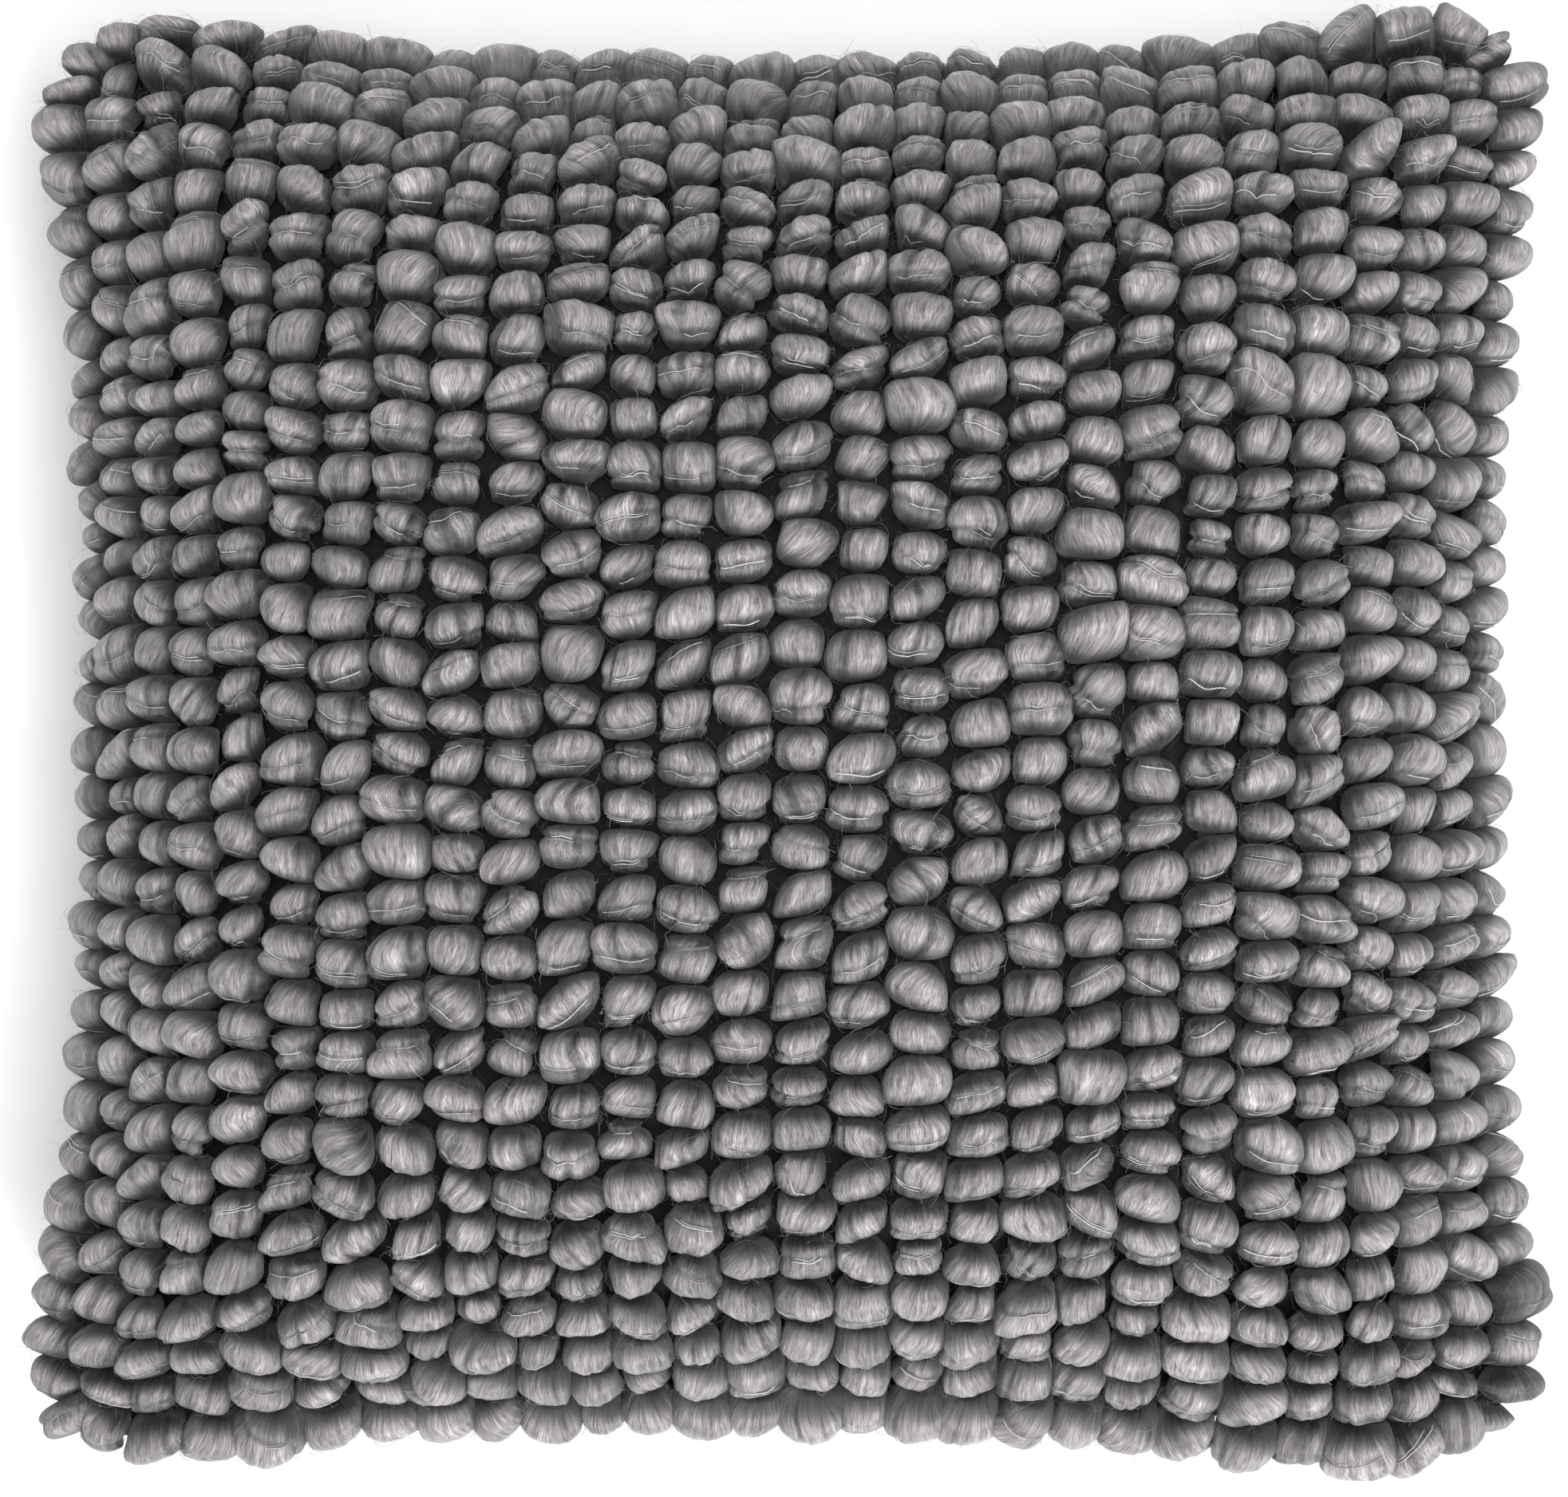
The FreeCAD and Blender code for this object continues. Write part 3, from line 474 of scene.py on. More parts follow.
each = shape + (1, 1)   # one draw for each loop
rim = per_loop(rim_share)
bulge = rng.uniform(1.95, 2.6, each) + 0.55 * rim
cross_bulge = rng.uniform(1.85, 2.25, each)
y = np.broadcast_to(ring_place[:, None], (RINGS, AROUND))[None, None]
turn = np.broadcast_to(side_turn[None, :], (RINGS, AROUND))[None, None]
body = np.maximum((1 - np.abs(y) ** bulge) ** (1 / bulge), NECK)
sin_t, cos_t = np.sin(turn), np.cos(turn)
section = (np.abs(sin_t) ** cross_bulge + np.abs(cos_t) ** cross_bulge) ** (-1 / cross_bulge)
x = sin_t * section * body
z = cos_t * section * body

# uneven outline: each loop tapers, heaps up and narrows its own way
taper = rng.normal(0, 0.16, each) * (1 - 0.5 * rim)
heap = rng.normal(0, 0.14, each) * (1 - 0.5 * rim)
waist = np.clip(rng.normal(0.0, 0.10, each), -0.16, 0.2)
hip = rng.normal(0, 0.15, each)
x = x * (1 + taper * y - waist * (1 - 2.2 * y * y)) + hip * (1 - y * y) * (1 - np.abs(x))
z = z * (1 + heap * y) + rng.normal(0, 0.07, each) * x * (1 - y * y)

# strands: how far round each one starts and how it winds from one end of the loop to the other
twist = rng.normal(0.10, 0.24, each)
bow = rng.normal(0, 0.22, each)
strand = turn + twist * y + bow * (1 - y * y) * cos_t
FOLDS, FLAPS = 3, 2
RIDGES = ((4, 0.30), (7, 0.26), (11, 0.20), (17, 0.14))   # number round the loop and height
folds = np.zeros(np.broadcast(x, y).shape)
for _ in range(FOLDS):
    middle = rng.uniform(-1.5, 1.5, each)
    width = rng.uniform(0.08, 0.18, each)
    depth = rng.uniform(0.0, 1.0, each) ** 2 * 1.9
    start = rng.uniform(-0.9, 0.9, each)
    folds += depth * bump(strand, middle, width) * (0.35 + 0.65 * bump(y, start, 0.7))
flaps = np.zeros_like(folds)
for _ in range(FLAPS):
    edge = rng.uniform(-1.2, 1.2, each)
    side_of = np.where(rng.random(each) < 0.5, -1.0, 1.0)
    thick = np.clip(rng.normal(0.45, 0.5, each), 0, 1.5)
    slant = rng.normal(0, 0.35, each)
    past = side_of * (strand - edge - slant * y)
    flaps += thick * np.exp(np.minimum(past, 0) / 0.55) / (1 + np.exp(np.clip(past / 0.035, -30, 30)))
ridges = np.zeros_like(folds)
for count, tall in RIDGES:
    phase = rng.uniform(0, 2 * math.pi, each)
    ridges += tall * np.sin(count * strand + phase + 1.3 * np.sin(2.3 * y + phase))

# the binding thread ties most loops down below their middle, some above it, and the rest out of sight
TIED_BELOW, TIED_IN_SIGHT = 0.56, 0.72
tied = rng.random(shape)
tie_place = np.where(tied < TIED_BELOW, rng.uniform(-0.68, -0.22, shape), rng.uniform(0.12, 0.50, shape))
tie_shown = tied < TIED_IN_SIGHT
tie_deep = np.where(tie_shown, rng.uniform(0.8, 3.6, shape) * (1 - 0.35 * np.abs(tie_place)), 0.0)
tie_smile = rng.uniform(0.05, 0.32, shape) * np.where(tie_place < 0, 1, 0.4)
tie_slant = rng.normal(0, 0.14, shape)
tie_line = per_loop(tie_place) + per_loop(tie_smile) * x * x + per_loop(tie_slant) * x
groove = per_loop(tie_deep) * (0.62 * bump(y, tie_line, 0.13) + 0.38 * bump(y, tie_line, 0.32))

RIDGE_HIGH = 0.8 * MM
LEAST_REACH = 2 * MM   # what presses in on a thin loop is scaled as on one this thick
inward = ((groove + folds - flaps) * MM - ridges * RIDGE_HIGH) * (1 - 0.45 * rim)
wide = per_loop(half_wide * size * (1.15 + 0.05 * corner_share + 0.08 * at_edge_v))
tall = per_loop(LOOP_HIGH * size * (1 + 0.02 * rim_share + 0.30 * over_zip))
long = per_loop(half_long * size ** 0.4 * (1.07 + 0.06 * rim_share + 0.06 * at_edge_u))
out_x, out_z = x * wide, z * tall
reach = np.sqrt(out_x ** 2 + out_z ** 2) + 1e-9
ends = smooth_step(np.abs(y), 0.80, 1.0)
shrink = 1 - inward * (1 - ends) / np.maximum(reach, LEAST_REACH)
local_x = out_x * shrink
local_z = out_z * shrink
local_y = y * long + np.zeros_like(local_x)

# lean and shear in the plane of the cloth, and tilt out of it
LEAN = math.radians(13)   # all loops lean this way
LEAN_SPREAD, NOD_SPREAD, ROLL_SPREAD = math.radians(14), math.radians(9), math.radians(10)
lean = rng.normal(0, LEAN_SPREAD, shape) * (1 + 0.4 * corner_share) + LEAN * (1 - 0.5 * rim_share)
nod = rng.normal(0, NOD_SPREAD, shape)
roll = rng.normal(0, ROLL_SPREAD, shape) * (1 + 0.8 * corner_share)
shear = np.clip(rng.normal(0.22, 0.16, shape), -0.1, 0.5) * (1 - 0.6 * rim_share)
c, s = per_loop(np.cos(lean)), per_loop(np.sin(lean))
local_x, local_y = c * local_x + s * local_y, c * local_y - s * local_x
local_y = local_y + per_loop(shear) * local_x
c, s = per_loop(np.cos(nod)), per_loop(np.sin(nod))
local_y, local_z = c * local_y - s * local_z, c * local_z + s * local_y
c, s = per_loop(np.cos(roll)), per_loop(np.sin(roll))
local_x, local_z = c * local_x + s * local_z, c * local_z - s * local_x
arch = per_loop(LOOP_LIFT * size * (0.62 + 0.55 * rim_share)) * np.abs(y) ** 2.4
local_z = local_z - arch
points = centre[:, :, None, None]
for way, moved in ((dir_u, local_x), (dir_v, local_y), (dir_n, local_z)):
    points = points + way[:, :, None, None] * moved[..., None]

# ---------------- neighbours press on each other
PRESS = 1.05 * MM   # over which a loop gives way
FREE = 9 * MM   # the most that counts as room beside a loop
OVERLAP = per_loop((0.38 + 0.75 * rim_share + 0.6 * at_edge_v) * MM)
contact = np.full(points.shape[:-1], FREE)
for step_u in (-1, 0, 1):
    for step_v in (-1, 0, 1):
        if step_u == 0 and step_v == 0:
            continue
        other_u = np.clip(column_index + step_u, 0, COLUMNS - 1)
        other_v = np.clip(row_index + step_v, 0, ROWS - 1)
        real = (other_u == column_index + step_u) & (other_v == row_index + step_v)
        toward = centre[other_u, other_v] - centre
        distance = np.linalg.norm(toward, axis=-1)
        toward = unit(toward)
        share = size / (size + size[other_u, other_v])
        limit = distance * share
        ahead = ((points - centre[:, :, None, None]) * toward[:, :, None, None]).sum(-1)
        over = ahead - per_loop(limit) - OVERLAP
        held = -PRESS * np.logaddexp(0, -over / PRESS)
        push = np.where(per_loop(real), over - held, 0)
        points = points - toward[:, :, None, None] * push[..., None]
        contact = np.where(per_loop(real), np.minimum(contact, -held), contact)

# the loops over the zip are held up off its slider and pull
ZIP_ROOM = SEAM_Z + 4.2 * MM   # the lowest that they may reach
EASE = 0.6 * MM   # over which they flatten out
above = points[:, 0, ..., 2] - ZIP_ROOM
points[:, 0, ..., 2] = ZIP_ROOM + EASE * np.logaddexp(0, above / EASE)

# ---------------- necks between the loops
tuck_u = np.concatenate([loop_u[:, :1], (loop_u[:, 1:] + loop_u[:, :-1]) / 2, loop_u[:, -1:]], axis=1)
tuck_place, tuck_across, _, tuck_out, _, _ = front_frame(tuck_u, edges)
TUCK_WIDE, TUCK_HIGH, TUCK_LIFT = 3.6 * MM, 1.0 * MM, 1.4 * MM
tuck = (tuck_place + tuck_out * TUCK_LIFT)[:, :, None] \
    + tuck_across[:, :, None] * (np.sin(side_turn) * TUCK_WIDE)[None, None, :, None] \
    + tuck_out[:, :, None] * (np.cos(side_turn) * TUCK_HIGH)[None, None, :, None]

# a roving's two ends are gathered where its first and last loop end
GATHERED, END_PAST = 0.2, 0.5 * MM   # share of the girth that is left, and how far past the loop
for last, row, ring in ((0, 0, 0), (ROWS, ROWS - 1, RINGS - 1)):
    end_ring = points[:, row, ring]
    middle = end_ring.mean(1, keepdims=True)
    past = unit(middle - points[:, row].mean((1, 2))[:, None])
    tuck[:, last] = middle + (end_ring - middle) * GATHERED + past * END_PAST

# painted light and shade for the loops' colour, from how open to the light each point is: 1 on top of a loop,
# 0 down between the loops
CLOSE_BY = 1.6 * MM   # a neighbour nearer than this shades
height = local_z + per_loop(lift)
loop_top = per_loop(LOOP_HIGH * size + lift)
painted_light_share = np.clip(height / loop_top, 0, 1) * (0.45 + 0.55 * np.clip(contact / CLOSE_BY, 0, 1))
# painted shade in the folds and towards the loops' ends, where the strands gather
painted_light_share = painted_light_share * (1 - 0.30 * np.clip(folds, 0, 1)) * (1 - 0.42 * np.abs(y) ** 3.5)
# a painted shadow along the upper side of each binding thread
painted_light_share = painted_light_share * (1 - 0.28 * per_loop(tie_shown) * bump(y, tie_line + 0.07, 0.08))

# ---------------- the rovings
STRAND_ROUND = 7.5   # millimetres round the roving for each radian
STRAND_STEP = 17.0   # millimetres along the roving from one loop to the next
STRAND_HALF = 8.0   # and from a loop's middle to its end
NECK_BACK = 8.5   # and from a loop's middle back to the neck before it


def fibre_place(number, round_way, along):
    """Place of fibres: round the roving and along it, in millimetres, and their loop's number."""
    return np.stack(np.broadcast_arrays(round_way * STRAND_ROUND, along, float(number)), -1)


def with_caps(rings):
    """Values of a tube's points, ring by ring, and then of the middles of its two caps."""
    joined = np.concatenate(rings)
    flat = joined.reshape((-1,) + joined.shape[2:])
    return np.concatenate([flat, flat[:1], flat[-1:]])


def roving_piece(column):
    """One roving: its loops and the necks between them, as one closed tube."""
    rings, strands, painted_light_rings, tones = [], [], [], []
    end_painted_light = {0: painted_light_share[column, 0, 0], ROWS: painted_light_share[column, ROWS - 1, RINGS - 1]}
    for row in range(ROWS + 1):
        number = column * ROWS + min(row, ROWS - 1)
        rings.append(tuck[column, row][None])
        strands.append(fibre_place(number, side_turn[None], row * STRAND_STEP - NECK_BACK))
        # the necks between the loops take full painted shade; the roving's two ends take that of their loop
        painted_light_rings.append(end_painted_light.get(row, np.zeros(AROUND))[None])
        tones.append(np.zeros((1, AROUND)))
        if row < ROWS:
            rings.append(points[column, row])
            along = row * STRAND_STEP + ring_place[:, None] * STRAND_HALF
            strands.append(fibre_place(number, strand[column, row], along))
            painted_light_rings.append(painted_light_share[column, row])
            tones.append(np.full((RINGS, AROUND), tone[column, row]))
    tube = np.concatenate(rings)
    count = len(tube)
    last = count * AROUND
    side = np.arange(AROUND)
    after = (side + 1) % AROUND
    low_cap = np.stack([np.full(AROUND, last), side, after], -1)
    high_cap = np.stack([after + last - AROUND, side + last - AROUND, np.full(AROUND, last + 1)], -1)
    verts = np.concatenate([tube.reshape(-1, 3), tube[0].mean(0)[None], tube[-1].mean(0)[None]])
    faces = [tube_faces(count, AROUND), low_cap, high_cap]
    piece = new_piece(f"roving_column_{column + 1:02d}", verts, faces)
    point_value(piece, "strand", with_caps(strands))
    # the painted light and shade reaches the material as the depth value
    point_value(piece, "depth", with_caps(painted_light_rings))
    point_value(piece, "tone", with_caps(tones))
    flat_u, flat_v = np.meshgrid(np.arange(AROUND) / AROUND, np.arange(count) / count)
    map_flat(piece, with_caps([np.stack([flat_u, flat_v], -1)]))
    return piece


roving_pieces = []
for column in range(COLUMNS):
    piece = roving_piece(column)
    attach(piece, BODY)
    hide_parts(f"front_roving_{column + 1:02d}")
    roving_pieces.append(piece)


# ---------------- materials
class Look:
    """A material built from nodes around one principled shader."""

    def __init__(self, name, settings):
        self.material = bpy.data.materials.new(name)
        self.material.use_nodes = True
        self.nodes = self.material.node_tree.nodes
        self.links = self.material.node_tree.links
        self.shader = self.nodes["Principled BSDF"]
        self.fill(self.shader, settings)

    def fill(self, node, inputs):
        """Set plain values on a node's inputs and link the ones that are sockets."""
        for key, value in inputs.items():
            socket = node.inputs[key]
            if isinstance(value, bpy.types.NodeSocket):
                self.links.new(value, socket)
            else:
                socket.default_value = value

    def add(self, kind, inputs=None, out=0, **settings):
        """A new node of a kind, and the output asked for."""
        node = self.nodes.new(kind)
        for key, value in settings.items():
            setattr(node, key, value)
        self.fill(node, inputs or {})
        return node.outputs[out]

    def value(self, name, kind="Fac"):
        """A number or vector stored on the mesh."""
        return self.add("ShaderNodeAttribute", attribute_name=name, out=kind)

    def math(self, operation, *values):
        return self.add("ShaderNodeMath", dict(enumerate(values)), operation=operation)

    def scaled(self, vector, factors):
        return self.add("ShaderNodeVectorMath", {0: vector, 1: factors}, operation="MULTIPLY")

    def noise(self, vector, scale=1.0, detail=2.0, roughness=0.5, distortion=0.0):
        return self.add("ShaderNodeTexNoise", {"Vector": vector, "Scale": scale, "Detail": detail,
                                               "Roughness": roughness, "Distortion": distortion})

    def ramp(self, value, stops):
        """A colour ramp; stops are (place, (r, g, b)) or (place, grey)."""
        socket = self.add("ShaderNodeValToRGB", {"Fac": value})
        ramp = socket.node.color_ramp
        while len(ramp.elements) < len(stops):
            ramp.elements.new(0.5)
        for element, (spot, colour) in zip(ramp.elements, stops):
            element.position = spot
            grey = not hasattr(colour, "__len__")
            element.color = (colour,) * 3 + (1,) if grey else tuple(colour) + (1,)
        return socket

    def blend(self, kind, share, first, second):
        """Mix two colours."""
        node = self.nodes.new("ShaderNodeMix")
        node.data_type = "RGBA"
        node.blend_type = kind
        self.fill(node, {0: share, 6: first, 7: second})
        return node.outputs[2]

    def bumps(self, height, distance, strength=1.0, under=None):
        inputs = {"Height": height, "Distance": distance, "Strength": strength}
        if under is not None:
            inputs["Normal"] = under
        return self.add("ShaderNodeBump", inputs)

    def grained(self, colour, grain, roughness, relief):
        """The material, with gloss and relief in millimetres from one fine noise."""
        rough = self.math("MULTIPLY_ADD", grain, 0.2, roughness - 0.1)
        relief_at = self.bumps(grain, relief * MM)
        self.fill(self.shader, {"Base Color": colour, "Roughness": rough, "Normal": relief_at})
        return self.material


def roving_look():
    """Combed roving: fine strands that run along the loop, in bundles, with painted light on top of the loops
    and painted shade down between them.
    """
    look = Look("combed_roving", {"Specular IOR Level": 0.65, "Anisotropic": 0.75, "Sheen Weight": 0.2,
                                  "Sheen Roughness": 0.45, "Sheen Tint": (0.8, 0.8, 0.82, 1)})
    strand_at = look.value("strand", "Vector")
    stray = look.noise(look.scaled(strand_at, (0.22, 0.20, 4.1)), 1.0, 2.0, 0.5)
    shift = look.add("ShaderNodeCombineXYZ", {0: look.math("MULTIPLY_ADD", stray, 1.5, -0.75)})
    strand_at = look.add("ShaderNodeVectorMath", {0: strand_at, 1: shift}, operation="ADD")
    fine = look.noise(look.scaled(strand_at, (4.3, 0.28, 7.3)), 1.0, 3.0, 0.65)
    hair = look.noise(look.scaled(strand_at, (8.5, 0.50, 3.1)), 1.0, 1.0, 0.6)
    bundle = look.noise(look.scaled(strand_at, (0.92, 0.13, 5.7)), 1.0, 2.0, 0.6)
    patch = look.noise(look.scaled(strand_at, (0.16, 0.14, 2.9)), 1.0, 1.0, 0.5)
    mixed = look.math("MULTIPLY_ADD", fine, 0.56, look.math("MULTIPLY", bundle, 0.44))
    shade = look.ramp(mixed, [(0.32, (0.027, 0.0252, 0.0248)), (0.43, (0.102, 0.0945, 0.0935)),
                              (0.54, (0.198, 0.184, 0.182)), (0.67, (0.40, 0.377, 0.373))])
    # painted highlights: bright glints along some of the strands
    lights = look.ramp(hair, [(0.54, 0.0), (0.74, 0.42)])
    colour = look.blend("MIX", lights, shade, (0.44, 0.421, 0.419, 1))
    tone_at = look.value("tone")
    tone_gain = look.math("MULTIPLY_ADD", tone_at, 0.24, 1.0)
    # broad lighter and darker patches: partly uneven colour of the fibre, partly painted satin sheen
    patch_and_sheen_gain = look.math("MULTIPLY_ADD", patch, 0.9, 0.53)
    # painted shade down the loops' sides, in their necks and between them, and painted light on their tops
    painted_light_gain = look.ramp(look.value("depth"), [(0.05, 0.01), (0.42, 0.085), (0.60, 0.28),
                                                 (0.74, 0.62), (0.86, 1.0), (1.0, 1.22)])
    gain = look.math("MULTIPLY", tone_gain, patch_and_sheen_gain)
    colour = look.blend("MULTIPLY", 1.0, colour, painted_light_gain)
    colour = look.add("ShaderNodeVectorMath", {0: colour, "Scale": gain}, operation="SCALE")
    rough = look.math("MULTIPLY_ADD", hair, 0.25, 0.30)
    across = look.add("ShaderNodeTangent", direction_type="UV_MAP", uv_map="UVMap")
    coarse_bump = look.bumps(bundle, 0.9 * MM)
    normal = look.bumps(fine, 0.38 * MM, 1.0, coarse_bump)
    look.fill(look.shader, {"Base Color": colour, "Roughness": rough, "Normal": normal, "Tangent": across})
    return look.material


def weave_look(name, dark, light, threads_per_mm, relief, roughness=0.85, sheen=0.15, tangle=0.5):
    """Plain weave on the place of the cloth in millimetres."""
    look = Look(name, {"Specular IOR Level": 0.25, "Sheen Weight": sheen, "Sheen Roughness": 0.5})
    at = look.value("cloth", "Vector")
    wobble = look.noise(look.scaled(at, (0.25, 0.25, 0.25)), 1.0, 2.0)
    moved = look.add("ShaderNodeVectorMath", {0: at, 1: look.scaled(wobble, (tangle,) * 3)}, operation="ADD")
    split = look.add("ShaderNodeSeparateXYZ", {0: look.scaled(moved, (threads_per_mm * math.pi,) * 3)})
    warp, weft = split.node.outputs[0], split.node.outputs[1]
    over = look.math("MULTIPLY", look.math("SINE", warp), look.math("SINE", weft))
    ridge_a = look.math("ABSOLUTE", look.math("SINE", warp))
    ridge_b = look.math("ABSOLUTE", look.math("SINE", weft))
    which = look.math("GREATER_THAN", over, 0.0)
    relief_at = look.add("ShaderNodeMix", {0: which, 2: ridge_a, 3: ridge_b}, data_type="FLOAT")
    fibre = look.noise(look.scaled(at, (1.7, 1.7, 1.7)), 1.0, 4.0, 0.7)
    slub = look.noise(look.scaled(at, (0.02, 0.5, 0.1)), 1.0, 3.0, 0.6)
    slub_across = look.noise(look.scaled(at, (0.5, 0.02, 0.1)), 1.0, 3.0, 0.6)
    amount = look.math("MULTIPLY_ADD", relief_at, 0.5, look.math("MULTIPLY", fibre, 0.5))
    uneven = look.math("MULTIPLY", look.math("ADD", slub, slub_across), 0.5)
    amount = look.math("MULTIPLY", amount, look.math("MULTIPLY_ADD", uneven, 1.1, 0.45))
    colour = look.ramp(amount, [(0.15, dark), (0.75, light)])
    lift_at = look.math("MULTIPLY_ADD", fibre, 0.5, relief_at)
    rough = look.math("MULTIPLY_ADD", fibre, 0.15, roughness - 0.1)
    look.fill(look.shader, {"Base Color": colour, "Roughness": rough,
                            "Normal": look.bumps(lift_at, relief * MM)})
    return look.material


def thread_look(name, dark, light, roughness=0.45, toned=False):
    """Spun thread with a fine grain; toned threads differ in lightness from one to the next."""
    look = Look(name, {"Specular IOR Level": 0.5, "Sheen Weight": 0.2, "Sheen Roughness": 0.3})
    at = look.add("ShaderNodeTexCoord", out="Object")
    fibre = look.noise(at, 2600.0, 3.0, 0.6)
    colour = look.ramp(fibre, [(0.3, dark), (0.7, light)])
    if toned:
        colour = look.add("ShaderNodeVectorMath", {0: colour, "Scale": look.value("tone")}, operation="SCALE")
    return look.grained(colour, fibre, roughness, 0.08)


def solid_look(name, dark, light, roughness, metallic=0.0, grain=900.0, relief=0.02):
    """Moulded or painted pieces with a slight grain, wear in the colour and uneven gloss."""
    look = Look(name, {"Metallic": metallic})
    at = look.add("ShaderNodeTexCoord", out="Object")
    fine = look.noise(at, grain, 4.0, 0.6)
    broad = look.noise(at, grain / 9, 2.0, 0.5)
    colour = look.ramp(look.math("MULTIPLY_ADD", broad, 0.6, look.math("MULTIPLY", fine, 0.4)),
                       [(0.3, dark), (0.7, light)])
    return look.grained(colour, fine, roughness, relief)


def dress(piece, material):
    piece.data.materials.clear()
    piece.data.materials.append(material)


roving = roving_look()
for piece in roving_pieces:
    dress(piece, roving)

# ---------------- cover cloths
FINE = 2
MOUTH_EASE = 4 * MM   # over which the zip's opening closes at its ends
# shares of half a side: how far in the opening pulls the cloth, and how far back its edge stands
MOUTH_REACH, ZIP_OPEN = 0.12, 0.019


def cloth_piece(name, grid, flip, material, thick=1.2 * MM, steps=GRID * FINE, open_zip=0.0):
    """A closed thin panel read off a grid of points, with its place on the cloth stored in millimetres."""
    line = np.linspace(-1, 1, steps + 1)
    u, v = np.meshgrid(line, line, indexing="ij")
    read_v = v
    if open_zip:
        seam_x = on_grid(grid, u, np.full_like(u, -1))[..., 0]
        mouth = np.clip((SLOT_HALF - np.abs(seam_x)) / MOUTH_EASE, 0, 1)
        read_v = v + open_zip * mouth * np.clip(1 - (v + 1) / MOUTH_REACH, 0, 1) ** 1.5
    spots = on_grid(grid, u, read_v)
    spots[..., 2] = np.maximum(spots[..., 2], 0.0)
    first = np.gradient(spots, axis=0)
    second = np.gradient(spots, axis=1)
    out = unit(np.cross(first, second)) * (-1 if flip else 1)
    inner = spots - out * thick
    count = (steps + 1) ** 2
    cloth_at = np.stack([u * CLOTH_SIDE / 2, v * CLOTH_SIDE / 2, np.zeros_like(u)], -1) / MM
    top_faces = grid_faces(steps + 1, 0, flip)
    low_faces = grid_faces(steps + 1, count, not flip)
    index = np.arange(count).reshape(steps + 1, steps + 1)
    border = np.concatenate([index[:-1, 0], index[-1, :-1], index[:0:-1, -1], index[0, :0:-1]])
    after = np.roll(border, -1)
    rim = np.stack([border, after, after + count, border + count], -1)
    if not flip:
        rim = rim[:, ::-1]
    piece = new_piece(name, np.concatenate([spots.reshape(-1, 3), inner.reshape(-1, 3)]),
                      [top_faces, low_faces, rim])
    point_value(piece, "cloth", np.concatenate([cloth_at.reshape(-1, 3)] * 2))
    flat_at = np.stack([(u + 1) / 2.02, (v + 1) / 4.04], -1).reshape(-1, 2)
    map_flat(piece, np.concatenate([flat_at, flat_at + (0, 0.5)]))
    dress(piece, material)
    return piece


canvas = weave_look("back_canvas", (0.030, 0.029, 0.029), (0.150, 0.147, 0.147), 1.1, 0.22)
# the ground yarn is dark, and its colour is set darker still as painted shade in the gaps between the loops
ground = weave_look("ground_weave_gap_shade", (0.0016, 0.0013, 0.0012), (0.0050, 0.0042, 0.0040), 0.8, 0.05, sheen=0.0)
casing_white = weave_look("insert_casing", (0.55, 0.55, 0.53), (0.85, 0.85, 0.83), 1.4, 0.08)
fibre_white = weave_look("hollow_fibre", (0.6, 0.6, 0.58), (0.9, 0.9, 0.88), 0.3, 0.6, tangle=4.0)

back_piece = cloth_piece("back_cloth", back_cloth, True, canvas, open_zip=ZIP_OPEN)
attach(back_piece, BODY)
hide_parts("back_panel")

ground_piece = cloth_piece("front_ground_weave", front_cloth, False, ground, open_zip=ZIP_OPEN)
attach(ground_piece, BODY)
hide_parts("front_ground_cloth")


# ---------------- the insert inside the cover
def panel_in_box(node, upward):
    """A panel grid, scaled to fill the space of one node above or below the seam."""
    low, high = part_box(node)
    rise = high.z - SEAM_Z if upward else low.z - SEAM_Z
    spots = panel_points(grid_u, grid_v, rise)
    spots[..., 0] *= high.x / CORNER_X
    spots[..., 1] *= high.y / CORNER_Y
    spots[..., 2] = np.maximum(spots[..., 2], low.z)
    return spots


for node, name, upward in (("insert_front_casing", "insert_front_pad_casing", True),
                           ("insert_back_casing", "insert_back_pad_casing", False)):
    casing_piece = cloth_piece(name, panel_in_box(node, upward), not upward, casing_white, 0.8 * MM, GRID)
    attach(casing_piece, BODY)
    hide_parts(node)

stuffing = shell_points(panel_in_box("insert_filling", True), panel_in_box("insert_filling", False))
filling_piece = new_piece("insert_fibre_filling", stuffing, shell_faces()[0])
point_value(filling_piece, "cloth", np.concatenate([
    np.stack([grid_u, grid_v, grid_u * 0], -1).reshape(-1, 3),
    np.stack([grid_u, grid_v, grid_u * 0 + 1], -1)[1:-1, 1:-1].reshape(-1, 3)]) * CLOTH_SIDE / 2 / MM)
dress(filling_piece, fibre_white)
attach(filling_piece, BODY)
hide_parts("insert_filling")


